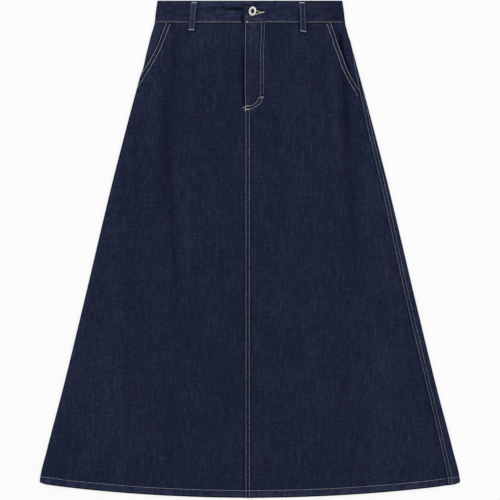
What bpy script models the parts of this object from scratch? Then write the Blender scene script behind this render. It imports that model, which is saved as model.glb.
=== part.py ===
"""Denim maxi skirt laid flat on its back, as the pieces a maker cuts and sews.

Metres, +Z up. The skirt lies on z = 0 with its waist towards +Y. Left and right are the wearer's: the
wearer's left is at +X. Every cloth piece is a wall placed on one flattened tube. A place on the tube is
its side (+1 or -1), its reach (the way along the cross-section from the middle of the front, over the
side fold and on under the back), its fall (the way down from the waist seam) and its depth below the
tube's outer face.
"""

import math
from collections import namedtuple

import bmesh
import bpy
import numpy as np
from mathutils import Matrix, Vector

# Overall sizes of the skirt as it lies
LENGTH = 0.9437
BAND_HEIGHT = 0.0413
BODY_LENGTH = LENGTH - BAND_HEIGHT
WAIST_Y = LENGTH / 2
SEAM_Y = WAIST_Y - BAND_HEIGHT
HEM_ARC_RADIUS = 2.871
HEM_HEIGHT = 0.013

# Cloth
CLOTH = 0.0012
BAND_CLOTH = 0.0026
HEM_CLOTH = 0.0020
LOOP_CLOTH = 0.0018
GAP = 0.0003
LAP_STEP = CLOTH + GAP

# Cross-section of the laid tube
FOLD_RADIUS = 0.0030
FOLD_ARC = math.pi * FOLD_RADIUS
FRONT_LEVEL = 0.0046
RIM_FLAT, RIM_END = 0.026, 0.056

# Seams. The front laps at CF_EDGE_X and the back at CB_EDGE_X; each lapped edge hides a tongue.
CF_EDGE_X, CF_TONGUE_X = -0.0099, 0.0020
CB_EDGE_X, CB_TONGUE_X = 0.0120, 0.0220
CB_RAMP = 0.010
SIDE_TONGUE = 0.009
HIDDEN_SEAM_REACH = 0.009
FRONT_RAMP, HIDDEN_RAMP = 0.024, 0.0085
FACING_UNDER = 0.022

# Waistband and fly
OVERLAP_END_X, UNDERLAP_END_X = -0.0110, 0.0320
OVERLAP_RISE = BAND_CLOTH + GAP
OVERLAP_FALL_X = (0.033, 0.058)
LAP_FALL_X = (0.006, 0.027)
FLY_TOP_LENGTH = 0.045

# Waist button and its buttonhole
BUTTON_X, BUTTON_Y = 0.0048, 0.4526
BUTTON_RADIUS, BUTTON_HOLE_RADIUS = 0.0097, 0.0042
BUTTON_THICKNESS, BUTTON_FLOOR = 0.0032, 0.0010
BUTTON_LEAN = math.radians(-36)
BUTTON_SIDES = 24
POST_RADIUS = 0.0019
HOLE_RADIUS = 0.0024
HOLE_TIP = (0.0265, 0.4509)
HOLE_MOUTH_ANGLE = math.radians(40)

# Mesh fineness
COARSE_STEP, ARC_STEP, LAP_STEP_LENGTH = 0.017, 0.0011, 0.0045
FRONT_COLUMNS, BACK_COLUMNS = 31, 23
FACING_COLUMNS, FACING_UNDER_COLUMNS = 13, 4
# Falls of the hip rows: closest where the left side seam and the right pocket mouth go round the side folds
PLAIN_HIP = np.linspace(GAP, 0.160, 7)
LEFT_HIP = np.concatenate((np.linspace(GAP, 0.012, 2), np.linspace(0.018, 0.078, 11), np.linspace(0.088, 0.160, 6)))
RIGHT_HIP = np.concatenate((np.linspace(GAP, 0.076, 6), np.linspace(0.083, 0.110, 7), np.linspace(0.117, 0.160, 5)))
BAND_FRONT_STEPS, BAND_RISE_STEPS, BAND_ARC_STEPS = 4, 6, 10

Outline = namedtuple("Outline", "drop half_width")
OUTLINE = (
    Outline(0.0000, 0.1760),
    Outline(0.0416, 0.1807),
    Outline(0.0836, 0.1926),
    Outline(0.1406, 0.2076),
    Outline(0.1976, 0.2230),
    Outline(0.2831, 0.2456),
    Outline(0.3971, 0.2739),
    Outline(0.5681, 0.3143),
    Outline(0.7391, 0.3559),
    Outline(0.8531, 0.3857),
    Outline(0.9101, 0.3993),
    Outline(0.9437, 0.4010),
)

# The pocket mouths: how far round the tube the cut edge lies, by the drop below the waist edge
Mouth = namedtuple("Mouth", "drop reach")
MOUTH_RIGHT = (
    Mouth(0.0416, 0.1617),
    Mouth(0.0665, 0.1708),
    Mouth(0.0931, 0.1818),
    Mouth(0.1121, 0.1925),
    Mouth(0.1311, 0.2043),
    Mouth(0.1500, 0.2164),
    Mouth(0.1740, 0.2320),
    Mouth(0.2000, 0.2490),
)
MOUTH_LEFT = (
    Mouth(0.0416, 0.1550),
    Mouth(0.0665, 0.1649),
    Mouth(0.0836, 0.1702),
    Mouth(0.1026, 0.1775),
    Mouth(0.1216, 0.1843),
    Mouth(0.1406, 0.1923),
    Mouth(0.1596, 0.2029),
    Mouth(0.1691, 0.2082),
    Mouth(0.2000, 0.2260),
)

# The left side seam: how far the back panel comes round the side fold on to the front
SideSeam = namedtuple("SideSeam", "drop on_front")
LEFT_SEAM = (
    SideSeam(0.0416, -0.0140),
    SideSeam(0.0836, -0.0047),
    SideSeam(0.1200, 0.0012),
    SideSeam(0.1560, 0.0042),
    SideSeam(0.1880, 0.0063),
    SideSeam(0.2260, 0.0092),
    SideSeam(0.3780, 0.0116),
    SideSeam(0.5680, 0.0154),
    SideSeam(0.7580, 0.0172),
    SideSeam(0.9437, 0.0205),
)

# The largest folds of the front: their middle line through three x, their ends, half width and height
Fold = namedtuple("Fold", "x_top x_mid x_end drop_top drop_end half_width height")
FOLDS = (
    Fold(-0.137, -0.158, -0.134, 0.055, 0.580, 0.011, -0.0015),
    Fold(0.172, 0.190, 0.197, 0.120, 0.500, 0.010, -0.0014),
    Fold(-0.118, -0.120, -0.116, 0.300, 0.560, 0.012, 0.0010),
    Fold(-0.262, -0.283, -0.306, 0.560, 0.880, 0.034, 0.0011),
    Fold(0.236, 0.258, 0.282, 0.560, 0.880, 0.026, 0.0011),
    Fold(0.085, 0.095, 0.105, 0.240, 0.470, 0.040, 0.0008),
)

# The belt loops: middle line x at the waist edge and at the lower end, drop of the two ends, width
Loop = namedtuple("Loop", "name x_top x_end drop_top drop_end width")
LOOPS = (
    Loop("belt_loop_right", -0.1055, -0.1112, 0.0010, 0.0562, 0.0114),
    Loop("belt_loop_left", 0.0987, 0.1013, 0.0010, 0.0588, 0.0116),
)
# A loop's inner face above the front band's outer face, by the share of its length
LoopRise = namedtuple("LoopRise", "share rise")
LOOP_RISES = (
    LoopRise(0.00, 0.0003),
    LoopRise(0.09, 0.0003),
    LoopRise(0.26, 0.0016),
    LoopRise(0.52, 0.0018),
    LoopRise(0.70, 0.0007),
    LoopRise(0.77, 0.0004),
    LoopRise(0.90, -0.0011),
    LoopRise(1.00, -0.0011),
)
LOOP_STEPS = 12

Row = namedtuple("Row", "fall width")

Finish = namedtuple("Finish", "name colour roughness metallic")
DENIM = Finish("indigo_denim", (0.013, 0.018, 0.038, 1), 0.92, 0.0)
BAND_DENIM = Finish("waistband_denim", (0.018, 0.023, 0.046, 1), 0.90, 0.0)
PALE_METAL = Finish("pale_metal", (0.72, 0.70, 0.62, 1), 0.32, 1.0)


def clear_scene():
    for item in list(bpy.data.objects):
        bpy.data.objects.remove(item, do_unlink=True)


def smoothstep(start, end, value):
    share = np.clip((value - start) / (end - start), 0.0, 1.0)
    return share * share * (3 - 2 * share)


def smooth_curve(table, at):
    """The smooth curve through a two-column table, read at the given places."""
    keys = np.array([row[0] for row in table])
    values = np.array([row[1] for row in table])
    slopes = np.gradient(values, keys)
    at = np.clip(at, keys[0], keys[-1])
    index = np.clip(np.searchsorted(keys, at, side="right") - 1, 0, len(keys) - 2)
    span = keys[index + 1] - keys[index]
    t = (at - keys[index]) / span
    return (
        values[index] * (1 + 2 * t) * (1 - t) ** 2
        + values[index + 1] * t * t * (3 - 2 * t)
        + slopes[index] * span * t * (1 - t) ** 2
        + slopes[index + 1] * span * t * t * (t - 1)
    )


def hem_rise(x):
    """How much higher the hem's arc is at x than at its middle."""
    return HEM_ARC_RADIUS - np.sqrt(HEM_ARC_RADIUS**2 - x * x)


def row_y(x, fall):
    return SEAM_Y - fall * (1 - hem_rise(x) / BODY_LENGTH)


def body_row(fall):
    """The row of the body at this fall, with the half width that the outline has at its two ends."""
    width = smooth_curve(OUTLINE, BAND_HEIGHT + fall)
    for _ in range(4):
        width = smooth_curve(OUTLINE, WAIST_Y - row_y(width, fall))
    return Row(fall, float(width))


def body_rows(hip_falls):
    """The rows at the hip that a piece needs, wide ones below and three for the turned hem."""
    below = np.linspace(0.195, BODY_LENGTH - 0.055, 8)
    hem = (BODY_LENGTH - HEM_HEIGHT - 0.003, BODY_LENGTH - HEM_HEIGHT, BODY_LENGTH)
    return [body_row(fall) for fall in np.concatenate((hip_falls, below, hem))]


def hem_share(row):
    return float(smoothstep(HEM_HEIGHT + 0.003, HEM_HEIGHT, BODY_LENGTH - row.fall))


def wall_at(row):
    """The panels' wall: one layer, and more over the turned hem."""
    return CLOTH + (HEM_CLOTH - CLOTH) * hem_share(row)


def fold_height(fold, x, drop):
    """One trough or ridge, fading towards both its ends."""
    t = np.clip((drop - fold.drop_top) / (fold.drop_end - fold.drop_top), 0.0, 1.0)
    start = fold.x_top * (1 - t) * (1 - 2 * t)
    middle = fold.x_mid * 4 * t * (1 - t)
    end = fold.x_end * t * (2 * t - 1)
    across = (x - start - middle - end) / fold.half_width
    return fold.height * np.sin(math.pi * t) * np.exp(-across * across)


def front_height(x, y, row):
    """The outer face of the front above the floor, where one layer lies on the back."""
    rim = 1 - smoothstep(RIM_FLAT, RIM_END, row.width - np.abs(x))
    height = FRONT_LEVEL + (2 * FOLD_RADIUS - FRONT_LEVEL) * rim
    for fold in FOLDS:
        height = height + (1 - rim) * fold_height(fold, x, WAIST_Y - y)
    back_seam = 1 - smoothstep(0.008, 0.022, np.abs(x - CB_EDGE_X - 0.005))
    return height + 0.0010 * hem_share(row) * back_seam


def lap_rise(x, row):
    """How far the left front rises over the right front's tongue, and over the fly and band above."""
    fly = 1 - float(smoothstep(0.0, FLY_TOP_LENGTH, row.fall))
    start = LAP_FALL_X[0] + fly * (OVERLAP_FALL_X[0] - LAP_FALL_X[0])
    end = LAP_FALL_X[1] + fly * (OVERLAP_FALL_X[1] - LAP_FALL_X[1])
    height = wall_at(row) + GAP + fly * (OVERLAP_RISE - LAP_STEP)
    return height * (1 - smoothstep(start, end, x))


def place(side, reach, row, depth, rise=0.0):
    """Points of the tube, as an array of x, y and z."""
    flat = row.width - FOLD_RADIUS
    turn = np.clip((reach - flat) / FOLD_RADIUS, 0.0, math.pi)
    under = np.maximum(reach - flat - FOLD_ARC, 0.0)
    x = side * (np.minimum(reach, flat) + (FOLD_RADIUS - depth) * np.sin(turn) - under)
    y = row_y(x, row.fall)
    on_front = np.where(reach < flat, front_height(x, y, row) - 2 * FOLD_RADIUS + rise, 0.0)
    z = FOLD_RADIUS + (FOLD_RADIUS - depth) * np.cos(turn) + on_front
    return np.stack([x, y, z], axis=-1)


def left_seam(row):
    """The reach of the back panel's lapped edge on the front of the left side."""
    return row.width - FOLD_RADIUS - float(smooth_curve(LEFT_SEAM, BAND_HEIGHT + row.fall))


def right_seam(row):
    """The reach of the back panel's lapped edge on the underside of the right side."""
    return row.width - FOLD_RADIUS + FOLD_ARC + HIDDEN_SEAM_REACH


def mouth(table, row):
    return float(smooth_curve(table, BAND_HEIGHT + row.fall))


def front_end(table, row, seam, tongue):
    """The reach of a front's outer edge: the pocket mouth, and below it the tongue under the back's edge."""
    if BAND_HEIGHT + row.fall > table[-1].drop:
        return seam + tongue
    return min(mouth(table, row), seam + tongue)


def columns(start, end, count, fine_zones):
    """count + 1 places from start to end, closer in the zones (start, end, step)."""
    at = np.linspace(start, end, 600)
    density = np.full_like(at, 1 / COARSE_STEP)
    for zone_start, zone_end, step in fine_zones:
        blend = smoothstep(zone_start - 0.004, zone_start, at) * (1 - smoothstep(zone_end, zone_end + 0.004, at))
        density = np.maximum(density, blend / step)
    total = np.concatenate(([0.0], np.cumsum((density[1:] + density[:-1]) / 2)))
    return np.interp(np.linspace(0, total[-1], count + 1), total, at)


def arc_zone(row):
    flat = row.width - FOLD_RADIUS
    return (flat, flat + FOLD_ARC, ARC_STEP)


def wall_object(name, outer, inner, finish):
    """One closed wall from the two grids of points of its outer and inner faces."""
    rows, places = outer.shape[:2]
    mesh = bpy.data.meshes.new(name)
    build = bmesh.new()
    faces_of = [[build.verts.new(point) for point in grid.reshape(-1, 3)] for grid in (outer, inner)]
    for verts in faces_of:
        for i in range(rows - 1):
            for j in range(places - 1):
                first = i * places + j
                build.faces.new([verts[k] for k in (first, first + 1, first + 1 + places, first + places)])
    rim = [j for j in range(places)]
    rim += [i * places + places - 1 for i in range(1, rows)]
    rim += [(rows - 1) * places + j for j in range(places - 2, -1, -1)]
    rim += [i * places for i in range(rows - 2, 0, -1)]
    for here, there in zip(rim, rim[1:] + rim[:1]):
        build.faces.new([faces_of[0][here], faces_of[0][there], faces_of[1][there], faces_of[1][here]])
    bmesh.ops.recalc_face_normals(build, faces=build.faces)
    build.to_mesh(mesh)
    build.free()
    mesh.shade_smooth()
    mesh.set_sharp_from_angle(angle=math.radians(40))
    item = bpy.data.objects.new(name, mesh)
    bpy.context.scene.collection.objects.link(item)
    item.data.materials.append(material(finish))
    return item


def material(finish):
    made = bpy.data.materials.get(finish.name)
    if made:
        return made
    made = bpy.data.materials.new(finish.name)
    made.use_nodes = True
    made.diffuse_color = finish.colour
    shader = made.node_tree.nodes["Principled BSDF"]
    shader.inputs["Base Color"].default_value = finish.colour
    shader.inputs["Roughness"].default_value = finish.roughness
    shader.inputs["Metallic"].default_value = finish.metallic
    return made


def panel_from_rows(name, rows, row_points):
    """A wall whose rows come from row_points(row), which gives side, reach, depth, wall and rise."""
    outer, inner = [], []
    for row in rows:
        side, reach, depth, wall, rise = row_points(row)
        outer.append(place(side, reach, row, depth, rise))
        inner.append(place(side, reach, row, depth + wall, rise))
    return wall_object(name, np.array(outer), np.array(inner), DENIM)


def front_depth(reach, row, seam, ramp):
    """How deep a front lies: level, then down under the back panel's lapped edge at the seam."""
    return (wall_at(row) + GAP) * smoothstep(seam - ramp, seam - 0.0020, reach)


def front_wall(row, tongue_share):
    return wall_at(row) - (wall_at(row) - CLOTH) * tongue_share


def build_front_left(rows):
    """The wearer's left front: laps over the right front in the middle, under the back panel at the side."""

    def row_points(row):
        seam = left_seam(row)
        end = front_end(MOUTH_LEFT, row, seam, min(SIDE_TONGUE, row.width - FOLD_RADIUS - GAP - seam))
        zones = [
            (CF_EDGE_X, 0.030, LAP_STEP_LENGTH),
            (end - 0.046, end, LAP_STEP_LENGTH),
            (end - 0.012, end, 0.0028),
            arc_zone(row),
        ]
        reach = columns(CF_EDGE_X, end, FRONT_COLUMNS, zones)
        depth = front_depth(reach, row, seam, FRONT_RAMP)
        tongue = smoothstep(seam - 0.020, seam - 0.008, reach)
        return 1, reach, depth, front_wall(row, tongue), lap_rise(reach, row)

    panel_from_rows("front_panel_left", rows, row_points)


def build_front_right(rows):
    """The wearer's right front: its tongue lies under the lap, and its side goes round the fold."""

    def row_points(row):
        seam = right_seam(row)
        end = front_end(MOUTH_RIGHT, row, seam, SIDE_TONGUE)
        zones = [
            (-CF_TONGUE_X, 0.014, LAP_STEP_LENGTH),
            (end - 0.046, end, LAP_STEP_LENGTH),
            (end - 0.018, end, 0.0024),
            arc_zone(row),
        ]
        reach = columns(-CF_TONGUE_X, end, FRONT_COLUMNS, zones)
        depth = front_depth(reach, row, seam, HIDDEN_RAMP)
        side_tongue = smoothstep(seam - 0.006, seam - 0.0012, reach)
        middle_tongue = 1 - smoothstep(-CF_EDGE_X, -CF_EDGE_X + 0.004, reach)
        return -1, reach, depth, front_wall(row, np.maximum(side_tongue, middle_tongue)), 0.0

    panel_from_rows("front_panel_right", rows, row_points)


def build_back_left(rows):
    """The wearer's left back: from the middle of the underside round the fold on to the front."""

    def row_points(row):
        start = left_seam(row)
        end = 2 * (row.width - FOLD_RADIUS) + FOLD_ARC - CB_EDGE_X
        zones = [(start, start + 0.022, LAP_STEP_LENGTH), arc_zone(row), (end - 0.012, end, 0.006)]
        reach = columns(start, end, BACK_COLUMNS, zones)
        return 1, reach, np.zeros_like(reach), wall_at(row), 0.0

    panel_from_rows("back_panel_left", rows, row_points)


def build_back_right(rows):
    """The wearer's right back: flat on the floor, its tongue over the left back in the middle."""

    def row_points(row):
        start = right_seam(row)
        middle = 2 * (row.width - FOLD_RADIUS) + FOLD_ARC
        end = middle + CB_TONGUE_X
        edge = middle + CB_EDGE_X
        zones = [(start, start + 0.010, 0.006), (edge - CB_RAMP, end, 0.0030)]
        reach = columns(start, end, BACK_COLUMNS - 6, zones)
        tongue = smoothstep(edge - CB_RAMP, edge - 0.0012, reach)
        depth = (wall_at(row) + GAP) * tongue
        return -1, reach, depth, front_wall(row, tongue), 0.0

    panel_from_rows("back_panel_right", rows, row_points)


def facing_depth(reach, row, edge, seam, ramp):
    """How deep a pocket facing lies: under the front, lower at its mouth, and under the back's edge."""
    inside = front_depth(np.minimum(reach, edge), row, seam, ramp)
    beyond = reach - edge
    near = 1 - smoothstep(0.0, 0.008, beyond)
    under_back = smoothstep(seam - 0.010, seam - 0.0012, reach)
    away = smoothstep(0.006, 0.016, beyond) * (1 - under_back)
    return LAP_STEP + inside * near - (LAP_STEP - GAP) * away


def build_facing(name, side, table, seam_of, ramp, rows):
    """The cloth that shows behind a pocket mouth, from under the front to the side seam."""
    meeting = next(row.fall for row in rows if mouth(table, row) > seam_of(row))
    shown = [row for row in rows if row.fall <= meeting]

    def row_points(row):
        seam = seam_of(row)
        closing = float(smoothstep(meeting - 0.045, meeting - 0.006, row.fall))
        end = seam + SIDE_TONGUE * (1 - closing) + 0.0015
        edge = mouth(table, row)
        middle = min(edge, seam - 0.002)
        under = np.linspace(middle - FACING_UNDER, middle, FACING_UNDER_COLUMNS + 1)
        shows = columns(middle, end, FACING_COLUMNS, [arc_zone(row), (seam - 0.010, seam, 0.003)])
        reach = np.concatenate((under, shows[1:]))
        return side, reach, facing_depth(reach, row, edge, seam, ramp), CLOTH, 0.0

    panel_from_rows(name, shown, row_points)


def band_path(width):
    """The band's outer face round the waist, from the underlap's end to the overlap's end, with normals."""
    flat = width - FOLD_RADIUS
    points, normals = [], []

    def add(x, z, normal_x, normal_z):
        points.append((x, z))
        normals.append((normal_x, normal_z))

    for x in np.linspace(UNDERLAP_END_X, -flat, BAND_FRONT_STEPS + 1):
        add(x, 2 * FOLD_RADIUS, 0.0, 1.0)
    for turn in np.linspace(0, math.pi, BAND_ARC_STEPS + 1)[1:]:
        add(-flat - FOLD_RADIUS * math.sin(turn), FOLD_RADIUS * (1 + math.cos(turn)), -math.sin(turn), math.cos(turn))
    for x in np.linspace(-flat, flat, BAND_FRONT_STEPS + 1)[1:]:
        add(x, 0.0, 0.0, -1.0)
    for turn in np.linspace(math.pi, 0, BAND_ARC_STEPS + 1)[1:]:
        add(flat + FOLD_RADIUS * math.sin(turn), FOLD_RADIUS * (1 + math.cos(turn)), math.sin(turn), math.cos(turn))
    rise_x = np.linspace(OVERLAP_FALL_X[1], OVERLAP_FALL_X[0], BAND_RISE_STEPS + 1)
    for x in np.concatenate(([0.12], rise_x, [0.010, OVERLAP_END_X])):
        rise = OVERLAP_RISE * (1 - float(smoothstep(*OVERLAP_FALL_X, x)))
        add(x, 2 * FOLD_RADIUS + rise, 0.0, 1.0)
    return np.array(points), np.array(normals)


def build_waistband():
    """One doubled strip round the waist, its left end over its right end, with the buttonhole cut."""
    outer, inner = [], []
    for drop in (0.0, BAND_HEIGHT / 2, BAND_HEIGHT):
        points, normals = band_path(float(smooth_curve(OUTLINE, drop)))
        y = np.full((len(points), 1), WAIST_Y - drop)
        for grid, face in ((outer, points), (inner, points - normals * BAND_CLOTH)):
            grid.append(np.hstack([face[:, :1], y, face[:, 1:]]))
    band = wall_object("waistband", np.array(outer), np.array(inner), BAND_DENIM)
    cut = band.modifiers.new("buttonhole", "BOOLEAN")
    cut.operation = "DIFFERENCE"
    cut.object = buttonhole_cutter()


def buttonhole_cutter():
    """A drop-shaped prism: round about the button's post and pointed at the far end."""
    lean = math.atan2(HOLE_TIP[1] - BUTTON_Y, HOLE_TIP[0] - BUTTON_X)
    turns = np.linspace(lean + HOLE_MOUTH_ANGLE, lean + 2 * math.pi - HOLE_MOUTH_ANGLE, 13)
    outline = [(BUTTON_X + HOLE_RADIUS * math.cos(t), BUTTON_Y + HOLE_RADIUS * math.sin(t)) for t in turns]
    outline.append(HOLE_TIP)
    top_of_underlap = 2 * FOLD_RADIUS
    return prism("buttonhole_cutter", outline, top_of_underlap + GAP / 2, top_of_underlap + 0.006)


def prism(name, outline, low, high):
    mesh = bpy.data.meshes.new(name)
    build = bmesh.new()
    base = build.faces.new([build.verts.new((x, y, low)) for x, y in outline])
    grown = bmesh.ops.extrude_face_region(build, geom=[base])["geom"]
    raised = [part for part in grown if isinstance(part, bmesh.types.BMVert)]
    bmesh.ops.translate(build, verts=raised, vec=(0, 0, high - low))
    bmesh.ops.recalc_face_normals(build, faces=build.faces)
    build.to_mesh(mesh)
    build.free()
    return helper(name, mesh)


def helper(name, mesh):
    """An object that only cuts or joins another: it isn't a piece of the skirt."""
    item = bpy.data.objects.new(name, mesh)
    bpy.context.scene.collection.objects.link(item)
    item.hide_render = True
    item.display_type = "WIRE"
    return item


def build_loop(loop):
    """A belt loop: a doubled strip on the band, bulging over its middle, its lower end on the panel."""
    outer, inner = [], []
    for share in np.linspace(0, 1, LOOP_STEPS + 1):
        drop = loop.drop_top + share * (loop.drop_end - loop.drop_top)
        middle = loop.x_top + share * (loop.x_end - loop.x_top)
        low = 2 * FOLD_RADIUS + float(smooth_curve(LOOP_RISES, share))
        across = np.linspace(middle - loop.width / 2, middle + loop.width / 2, 3)
        y = np.full(3, WAIST_Y - drop)
        inner.append(np.stack([across, y, np.full(3, low)], axis=-1))
        outer.append(np.stack([across, y, low + LOOP_CLOTH * np.array((0.85, 1.0, 0.85))], axis=-1))
    wall_object(loop.name, np.array(outer), np.array(inner), BAND_DENIM)


def button_profile():
    """Half the button's section from its axis outward: floor, hole wall, domed ring, back."""
    half = BUTTON_THICKNESS / 2
    ring_middle = (BUTTON_RADIUS + BUTTON_HOLE_RADIUS) / 2
    ring_half = (BUTTON_RADIUS - BUTTON_HOLE_RADIUS) / 2
    profile = [(0.0, -half), (BUTTON_HOLE_RADIUS + 0.001, -half)]
    for turn in np.linspace(-math.pi * 0.30, math.pi, 11):
        profile.append((ring_middle + ring_half * math.cos(turn), half * math.sin(turn)))
    profile.append((BUTTON_HOLE_RADIUS, -half + BUTTON_FLOOR))
    profile.append((0.0, -half + BUTTON_FLOOR))
    return profile


def build_button():
    """A metal ring button with a sunk middle, leaning on the band, its post down through the hole."""
    mesh = bpy.data.meshes.new("waist_button")
    build = bmesh.new()
    points = [build.verts.new((radius, 0, z)) for radius, z in button_profile()]
    edges = [build.edges.new(pair) for pair in zip(points, points[1:])]
    bmesh.ops.spin(
        build, geom=points + edges, axis=(0, 0, 1), cent=(0, 0, 0), angle=2 * math.pi, steps=BUTTON_SIDES
    )
    bmesh.ops.remove_doubles(build, verts=build.verts, dist=1e-6)
    bmesh.ops.recalc_face_normals(build, faces=build.faces)
    lean = Matrix.Rotation(BUTTON_LEAN, 4, "Y")
    bmesh.ops.transform(build, matrix=lean, verts=build.verts)
    lowest = min(vert.co.z for vert in build.verts)
    centre = Vector((BUTTON_X, BUTTON_Y, 2 * FOLD_RADIUS + OVERLAP_RISE + GAP - lowest))
    bmesh.ops.translate(build, verts=build.verts, vec=centre)
    build.to_mesh(mesh)
    build.free()
    mesh.shade_smooth()
    mesh.set_sharp_from_angle(angle=math.radians(50))
    button = bpy.data.objects.new("waist_button", mesh)
    bpy.context.scene.collection.objects.link(button)
    button.data.materials.append(material(PALE_METAL))
    join = button.modifiers.new("post", "BOOLEAN")
    join.operation = "UNION"
    join.object = button_post(centre, lean)


def button_post(centre, lean):
    """The post from the underlap up to the middle of the button's floor, its top cut to the lean."""
    inside_floor = -BUTTON_THICKNESS / 2 + BUTTON_FLOOR / 2
    mesh = bpy.data.meshes.new("button_post")
    build = bmesh.new()
    low, high = [], []
    for turn in np.linspace(0, 2 * math.pi, BUTTON_SIDES // 2, endpoint=False):
        x, y = POST_RADIUS * math.cos(turn), POST_RADIUS * math.sin(turn)
        low.append(build.verts.new((BUTTON_X + x, BUTTON_Y + y, 2 * FOLD_RADIUS + GAP)))
        high.append(build.verts.new(centre + lean @ Vector((x, y, inside_floor))))
    build.faces.new(low)
    build.faces.new(high)
    for i in range(len(low)):
        build.faces.new([low[i - 1], low[i], high[i], high[i - 1]])
    bmesh.ops.recalc_face_normals(build, faces=build.faces)
    build.to_mesh(mesh)
    build.free()
    return helper("button_post", mesh)


def main():
    clear_scene()
    left_rows = body_rows(LEFT_HIP)
    right_rows = body_rows(RIGHT_HIP)
    build_front_left(left_rows)
    build_front_right(right_rows)
    build_back_left(left_rows)
    build_back_right(body_rows(PLAIN_HIP))
    build_facing("pocket_facing_left", 1, MOUTH_LEFT, left_seam, FRONT_RAMP, left_rows)
    build_facing("pocket_facing_right", -1, MOUTH_RIGHT, right_seam, HIDDEN_RAMP, right_rows)
    build_waistband()
    for loop in LOOPS:
        build_loop(loop)
    build_button()


main()
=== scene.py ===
"""The looks of the denim skirt, laid flat on its back and seen from straight above.

Metres, +Z up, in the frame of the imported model. Each cloth piece is a fine shell on its solid's own form.
A place on the laid tube is its side (+1 or -1), its reach (the way round the section from the middle of
the front), its fall (the way down from the waist seam) and its depth below the outer face. A drop is
measured from the waist edge. Left and right are the wearer's: the left is at +X.
"""

import math
from collections import namedtuple

import bmesh
import bpy
import numpy as np
from mathutils import Matrix, Vector


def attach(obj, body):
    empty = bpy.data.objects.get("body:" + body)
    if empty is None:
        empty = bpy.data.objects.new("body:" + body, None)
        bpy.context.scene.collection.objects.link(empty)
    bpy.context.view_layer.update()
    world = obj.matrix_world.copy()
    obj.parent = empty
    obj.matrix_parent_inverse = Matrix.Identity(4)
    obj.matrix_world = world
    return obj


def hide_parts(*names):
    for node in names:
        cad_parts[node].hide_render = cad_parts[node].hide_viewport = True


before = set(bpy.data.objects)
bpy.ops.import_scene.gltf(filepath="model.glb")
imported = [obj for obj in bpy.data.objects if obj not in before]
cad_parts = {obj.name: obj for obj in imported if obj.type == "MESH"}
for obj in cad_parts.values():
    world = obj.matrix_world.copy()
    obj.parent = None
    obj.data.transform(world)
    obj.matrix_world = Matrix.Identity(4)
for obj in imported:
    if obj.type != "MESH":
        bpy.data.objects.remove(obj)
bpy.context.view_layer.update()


def table(columns, *rows):
    """Rows of numbers under named columns."""
    return tuple(map(namedtuple("Row", columns)._make, rows))


# Overall sizes: as the solids', but for a hem that is half a millimetre lower
LENGTH, BAND_HEIGHT = 0.9442, 0.0413
BODY_LENGTH = LENGTH - BAND_HEIGHT
WAIST_Y = 0.47185
SEAM_Y = WAIST_Y - BAND_HEIGHT
HEM_ARC_RADIUS, HEM_ARC_X = 3.05, 0.0005
HEM_LIFT, HEM_LIFT_X = 0.0009, (0.34, 0.4)
HEM_HEIGHT = 0.013
HEM_CORNERS = table(
    "away_from_middle rise",
    (0.386, 0.0), (0.3885, 0.0), (0.3907, 0.0003), (0.3945, 0.0013), (0.3983, 0.0025), (0.4001, 0.004),
)

# Cloth
CLOTH, BAND_CLOTH, HEM_CLOTH, LOOP_CLOTH = 0.0012, 0.0026, 0.002, 0.0018
GAP, SLIT = 0.0003, 0.00005
LAP_STEP = CLOTH + GAP

# Cross-section of the laid tube
FOLD_RADIUS = 0.003
FOLD_ARC = math.pi * FOLD_RADIUS
FRONT_LEVEL = 0.0046
RIM_FLAT, RIM_END = 0.026, 0.056

# Seams
CF_EDGE_X, CF_TONGUE_X = -0.0099, 0.002
CB_EDGE_X, CB_TONGUE_X, CB_RAMP = 0.012, 0.022, 0.01
SIDE_TONGUE = 0.009
HIDDEN_SEAM_REACH = 0.009
FRONT_RAMP, HIDDEN_RAMP = 0.024, 0.0085
FACING_UNDER = 0.022

# Waistband and fly
OVERLAP_END_X, UNDERLAP_END_X = -0.011, 0.032
OVERLAP_RISE = BAND_CLOTH + GAP
OVERLAP_FALL_X, LAP_FALL_X = (0.033, 0.058), (0.0028, 0.009)
OVERLAP_SAG, OVERLAP_TOP, BAND_LIP = 0.0011, 0.0004, 0.0007
FLY_TOP_LENGTH, FLY_RAISE = 0.045, 0.0007

# Waist button and its buttonhole
BUTTON_X, BUTTON_Y = 0.0049, 0.4505
BUTTON_RADIUS, BUTTON_HOLE = 0.0088, 0.0045
BUTTON_THICKNESS, BUTTON_FLOOR = 0.0026, 0.0003
BUTTON_LEAN, BUTTON_SIDES = math.radians(-39), 64
POST_RADIUS, POST_SIDES = 0.0019, 24
HOLE_Y = 0.4491
HOLE_TAIL = ((0.0192, 0.448), (0.027, 0.4501))
HOLE_SHADE = np.array(((0.0135, 0.0173), (0.02, 0.0195), (0.027, 0.0186)))
OVERLAP_TACK = ((-0.0059, 0.4314), (-0.0039, 0.4314))
# Half of the pulled-open buttonhole, from its pointed end to its round end under the button
HOLE = table(
    "x half_width",
    (0.02, 0.0), (0.0186, 0.0006), (0.0168, 0.0013), (0.014, 0.0024), (0.01, 0.0033), (0.0058, 0.0036),
    (0.002, 0.0032), (-0.0004, 0.002), (-0.0012, 0.0),
)

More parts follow.
